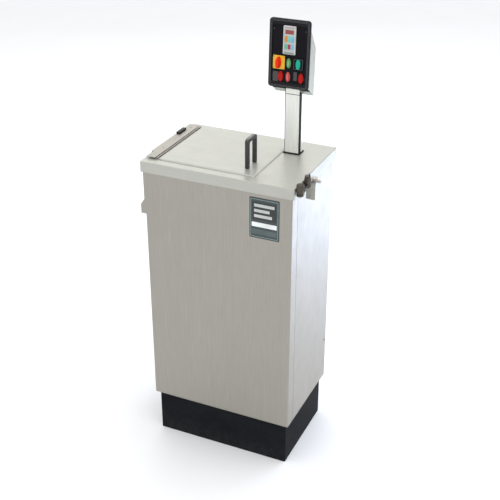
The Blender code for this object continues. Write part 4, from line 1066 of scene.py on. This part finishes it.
def moulded(name, colour, rough=0.4, texture=0.00002, grain=2200, dust=0.10, edge=0.25, shine=0.5):
    """Moulded plastic or paint: a fine texture, paler edges, and paler upper faces: a little dust, and where
    the dust setting is high a painted highlight.
    """
    paint, tree, shader = start_paint(name)
    fine = noise(tree, grain, (1, 1, 1), 2.0, 0.5)
    patch = noise(tree, 38, (1, 1, 1), 5.0, 0.6, 4.0)
    base = tint(tree, spread(tree, patch, 0.0, 1.0), shade(colour, 0.88), shade(colour, 1.10, 0.002))
    base = edge_wear_and_highlight(tree, base, 0.0009, edge, shade(colour, 1.5, 0.05))
    # Upper faces turned paler: dust, and where the dust setting is high, as on the lid handle, a painted
    # highlight.
    up = node(tree, "SeparateXYZ", {0: node(tree, "NewGeometry").outputs["Normal"]}).outputs[2]
    dust_and_sheen_mask = spread(tree, noise(tree, 160), 0.2, 1.0, 0.35, 0.7)
    dust_and_sheen_mask = times(tree, spread(tree, up, 0.0, 1.0, 0.5, 1.0), dust_and_sheen_mask)
    base = tint(tree, times(tree, dust_and_sheen_mask, dust), base, (0.50, 0.48, 0.44))
    roughness = plus(tree, spread(tree, patch, rough - 0.05, rough + 0.09), spread(tree, fine, -0.03, 0.03))
    gloss = {"Coat Roughness": 0.12, "Specular IOR Level": shine}
    surface(tree, shader, base, roughness, bump(tree, fine, texture, 0.7), gloss)
    return paint


def powder(name, colour):
    """Black powder coat: orange peel, scuffs, and dust that thickens towards the floor."""
    paint, tree, shader = start_paint(name)
    rubbed = (0.16, 0.155, 0.15)
    peel = noise(tree, 620, (1, 1, 1), 2.0, 0.45)
    patch = noise(tree, 9, (1, 1, 1.6), 5.0, 0.6, 2.0)
    scuff = spread(tree, noise(tree, 70, (1, 1, 5), 4.0, 0.6, 8.0), 0.0, 1.0, 0.62, 0.72)
    base = tint(tree, spread(tree, patch, 0.0, 1.0), shade(colour, 0.8), shade(colour, 1.3))
    base = tint(tree, times(tree, scuff, 0.12), base, rubbed)
    base = edge_wear_and_highlight(tree, base, 0.0016, 0.35, rubbed)
    height = node(tree, "SeparateXYZ", {0: node(tree, "TexCoord").outputs["Object"]}).outputs[2]
    low_down = spread(tree, height, 1.0, 0.0, 0.0, 0.075)
    dust = spread(tree, noise(tree, 55, (1, 1, 1), 6.0, 0.65, 6.0), 0.0, 0.09, 0.35, 0.75)
    dust = times(tree, low_down, dust)
    base = tint(tree, dust, base, (0.20, 0.19, 0.175))
    roughness = plus(tree, spread(tree, patch, 0.42, 0.56), times(tree, dust, 0.6))
    surface(tree, shader, base, roughness, bump(tree, peel, 0.00012, 0.5), {"Specular IOR Level": 0.02})
    return paint


def lens(name, colour, rim_shade_colour):
    """A coloured lamp lens: painted shade darkening it towards its rim as its face turns from the camera,
    fine ribs, and a gloss coat.
    """
    paint, tree, shader = start_paint(name)
    # Painted shade: the colour turns to the darker one where the face turns away from the camera, round the
    # rim.
    rim_shade_mask = node(tree, "LayerWeight", {0: 0.35}).outputs["Facing"]
    fine = noise(tree, 700, (1, 1, 4), 2.0, 0.4)
    base = tint(tree, rim_shade_mask, colour, rim_shade_colour)
    base = tint(tree, spread(tree, fine, 0.0, 0.35), base, shade(colour, 1.35, 0.02))
    glow = {"Coat Weight": 0.6, "Subsurface Weight": 0.15, "Subsurface Scale": 0.002}
    surface(tree, shader, base, spread(tree, fine, 0.14, 0.26), bump(tree, fine, 0.00006, 0.5), glow)
    return paint


ALONG_X, ALONG_Y, ALONG_Z = (0.012, 1, 1), (1, 0.012, 1), (1, 1, 0.012)
STEEL = (0.366, 0.346, 0.312)
SATIN = (0.34, 0.000015, 1800, 0.02, 0.10, 0.12)

# The record's slot that a finish is taken from -> how its material is made, its name, colour and settings
PAINTS = {
    "brushed_steel": (
        (brushed, "steel_z", STEEL, ALONG_Z),
        (brushed, "steel_x", STEEL, ALONG_X),
        (brushed, "steel_y", STEEL, ALONG_Y),
        # A paler copy of the brushed steel for the worktop and lid: painted light, so their top faces read
        # bright as if lit from above.
        (brushed, "steel_top", (0.47, 0.468, 0.426), ALONG_X, 0.38, 0.05, 0.45),
        (brushed, "steel_head", (0.45, 0.46, 0.405), ALONG_X, 0.40, 0.05, 0.5),
        (brushed, "steel_tank", (0.44, 0.43, 0.41), ALONG_Z, 0.40, 0.10),
        (plain_metal, "steel_plain", (0.46, 0.45, 0.43)),
        (plain_metal, "screw_steel", (0.50, 0.49, 0.47), 0.30),
    ),
    "pale_steel": (
        (brushed, "pale_steel", (0.93, 0.94, 0.88), ALONG_Z, 0.42, 0.05, 0.45),
        (plain_metal, "cast_grey", (0.62, 0.58, 0.55), 0.46),
    ),
    "brass": ((plain_metal, "brass", (0.62, 0.44, 0.20), 0.32, (0.30, 0.20, 0.09), 0.5),),
    "dark_bronze": ((plain_metal, "bronze", (0.115, 0.100, 0.085), 0.36, (0.05, 0.04, 0.035), 0.5),),
    "heater_sheath": ((plain_metal, "heater_sheath", (0.34, 0.30, 0.28), 0.38, (0.20, 0.13, 0.10), 0.6),),
    "black_rubber": ((moulded, "rubber", (0.018, 0.019, 0.018), 0.78, 0.00006, 900, 0.04, 0.10, 0.2),),
    "black_plastic": (
        (plain_metal, "screw_dark", (0.09, 0.09, 0.09), 0.42),
        # The handle's high dust setting paints a highlight on its upper faces.
        (moulded, "handle_black", (0.019, 0.019, 0.021), 0.32, 0.00005, 1300, 0.45, 0.30, 0.55),
        (moulded, "black_plastic", (0.012, 0.012, 0.012), 0.40, 0.00004, 1500, 0.03, 0.20, 0.2),
        (moulded, "panel_frame", (0.009, 0.0085, 0.011), 0.44, 0.00004, 1500, 0.02, 0.30, 0.12),
        (moulded, "panel_plate", (0.0065, 0.006, 0.0085), 0.52, 0.00003, 1900, 0.0, 0.20, 0.08),
        (moulded, "trim_grey", (0.15, 0.16, 0.155), 0.45),
        (moulded, "label_grey", (0.042, 0.042, 0.040), 0.46),
    ),
    "grey_plastic": ((moulded, "grey_plastic", (0.26, 0.27, 0.28), 0.48, 0.00005, 1200, 0.12),),
    "controller_grey": (
        (moulded, "case_grey", (0.52, 0.54, 0.52), 0.48),
        (moulded, "stripe_pink", (0.40, 0.30, 0.31), 0.45),
        (moulded, "strip_grey", (0.22, 0.24, 0.23), 0.48),
        (moulded, "membrane", (0.42, 0.44, 0.42), 0.42),
    ),
    "plate_yellow": ((moulded, "plate_yellow", (0.76, 0.45, 0.012), 0.44),),
    "plinth_black": (
        (powder, "powder_black", (0.0105, 0.0115, 0.0135)),
        (moulded, "print_white", (0.80, 0.82, 0.82), 0.42),
        (moulded, "print_grey", (0.19, 0.26, 0.25), 0.42),
        (moulded, "print_teal", (0.075, 0.105, 0.105), 0.42),
        (moulded, "print_dark", (0.020, 0.026, 0.027), 0.42),
        (moulded, "badge_dark", (0.040, 0.055, 0.058), 0.38),
        (moulded, "key_orange", (0.62, 0.24, 0.05), *SATIN),
        (moulded, "key_turquoise", (0.16, 0.50, 0.46), *SATIN),
        (moulded, "key_blue", (0.16, 0.44, 0.62), *SATIN),
        (moulded, "key_green", (0.10, 0.42, 0.26), *SATIN),
        (moulded, "key_crimson", (0.38, 0.04, 0.08), *SATIN),
    ),
    "button_teal": ((moulded, "cap_teal", (0.012, 0.36, 0.24), *SATIN),),
    "button_red": ((moulded, "cap_red", (0.40, 0.008, 0.005), *SATIN),),
    "knob_red": ((moulded, "knob_red", (0.76, 0.022, 0.006), *SATIN),),
    "display_red": (
        (moulded, "segment", (0.42, 0.035, 0.022), *SATIN),
        (lens, "display", (0.20, 0.010, 0.008), (0.09, 0.004, 0.004)),
    ),
    "lamp_green": ((lens, "lens_green", (0.13, 0.36, 0.12), (0.04, 0.15, 0.05)),),
    "lamp_red": ((lens, "lens_red", (0.60, 0.075, 0.065), (0.30, 0.02, 0.02)),),
}


def make_paints():
    """Every material by its short name, with the record's slot that it takes its finish from."""
    paints = {}
    for record_slot, recipes in PAINTS.items():
        for make, name, *settings in recipes:
            paints[name] = make(name, *settings), record_slot
    return paints


def finish_pieces(paints):
    """Turns each modelled shape into one plain mesh at the origin, on its body, in its paint."""
    bpy.context.view_layer.update()
    depsgraph = bpy.context.evaluated_depsgraph_get()
    shapes = {}
    for name, (obj, paint, body) in made.items():
        result = obj.evaluated_get(depsgraph)
        mesh = bpy.data.meshes.new_from_object(result)
        mesh.transform(result.matrix_world)
        shapes[name] = (mesh, paint, body)
    for obj in helpers:
        bpy.data.objects.remove(obj, do_unlink=True)
    for name, (mesh, paint, body) in shapes.items():
        is_node = name in frame["nodes"]
        piece = add_object(f"{name}_finished" if is_node else name, mesh)
        material, record_slot = paints[paint]
        mesh.materials.clear()
        mesh.materials.append(material)
        mesh.shade_smooth()
        mesh.set_sharp_from_angle(angle=math.radians(35))
        weighting = piece.modifiers.new("normals", "WEIGHTED_NORMAL")
        weighting.keep_sharp = True
        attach(piece, body)
        if is_node:
            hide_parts(name)


def make_floor():
    grid = bmesh.new()
    bmesh.ops.create_grid(grid, x_segments=1, y_segments=1, size=20)
    mesh = bpy.data.meshes.new("studio_floor")
    grid.to_mesh(mesh)
    grid.free()
    paint, tree, shader = start_paint("studio_floor")
    tone = tint(tree, spread(tree, noise(tree, 3), 0.0, 1.0), (0.955, 0.955, 0.955), (0.975, 0.975, 0.975))
    put(tree, shader, {"Base Color": tone, "Roughness": 0.9})
    mesh.materials.append(paint)
    add_object("studio_floor", mesh)


def area_light(name, place, target, size, power, colour=(1, 1, 1)):
    lamp = bpy.data.lights.new(name, "AREA")
    lamp.shape = "RECTANGLE"
    lamp.size, lamp.size_y = size
    lamp.energy = power
    lamp.color = colour
    obj = add_object(name, lamp)
    obj.location = place
    obj.rotation_euler = (Vector(target) - Vector(place)).to_track_quat("-Z", "Y").to_euler()


def make_light():
    world = bpy.data.worlds.new("studio")
    bpy.context.scene.world = world
    world.use_nodes = True
    back = world.node_tree.nodes["Background"]
    put(world.node_tree, back, {"Color": (0.97, 0.985, 1.0, 1.0), "Strength": 0.95})
    area_light("overhead", (0.3, -0.2, 3.6), (0, 0, 0.6), (3.0, 3.0), 40)
    area_light("top_glow", (-1.9, 3.6, 2.7), (0, 0, 1.0), (3.4, 2.2), 21, (1.0, 1.0, 0.93))
    area_light("right_soft", (2.8, 1.7, 1.5), (0.24, 0, 0.75), (2.2, 1.8), 7, (0.60, 0.75, 1.0))
    area_light("floor_wash", (1.05, 2.1, 0.95), (1.05, 2.1, 0), (1.3, 1.3), 48, (0.62, 0.74, 1.0))
    area_light("front_soft", (-1.6, -3.4, 1.2), (0, 0, 0.6), (2.0, 2.0), 8)


def make_camera():
    optics = bpy.data.cameras.new("camera")
    optics.lens = 70.93
    optics.sensor_width = 36
    camera = add_object("camera", optics)
    camera.location = (1.1772, -2.5164, 2.1465)
    camera.rotation_euler = (math.radians(61.97), 0, math.radians(24.43))
    bpy.context.scene.camera = camera


def build():
    make_plinth()
    make_cabinet()
    make_worktop()
    make_lid()
    make_hinge_channel()
    centre, back = make_tank()
    make_cradle()
    make_heater(back)
    make_basket(centre)
    make_drain(centre)
    make_pipes(centre, make_pump())
    make_float_switch()
    make_overflow()
    make_fill_valve()
    make_post()
    make_badge()

    head = add_object("control_head_frame", None)
    head.location = HEAD_PLACE
    head.rotation_euler = (-HEAD_TILT, 0, 0)
    before = len(helpers)
    make_head()
    for obj in helpers[before:]:
        obj.parent = head
    helpers.append(head)

    finish_pieces(make_paints())
    make_floor()
    make_light()
    make_camera()
    bpy.context.scene.view_settings.view_transform = "Standard"


build()
bpy.context.view_layer.update()
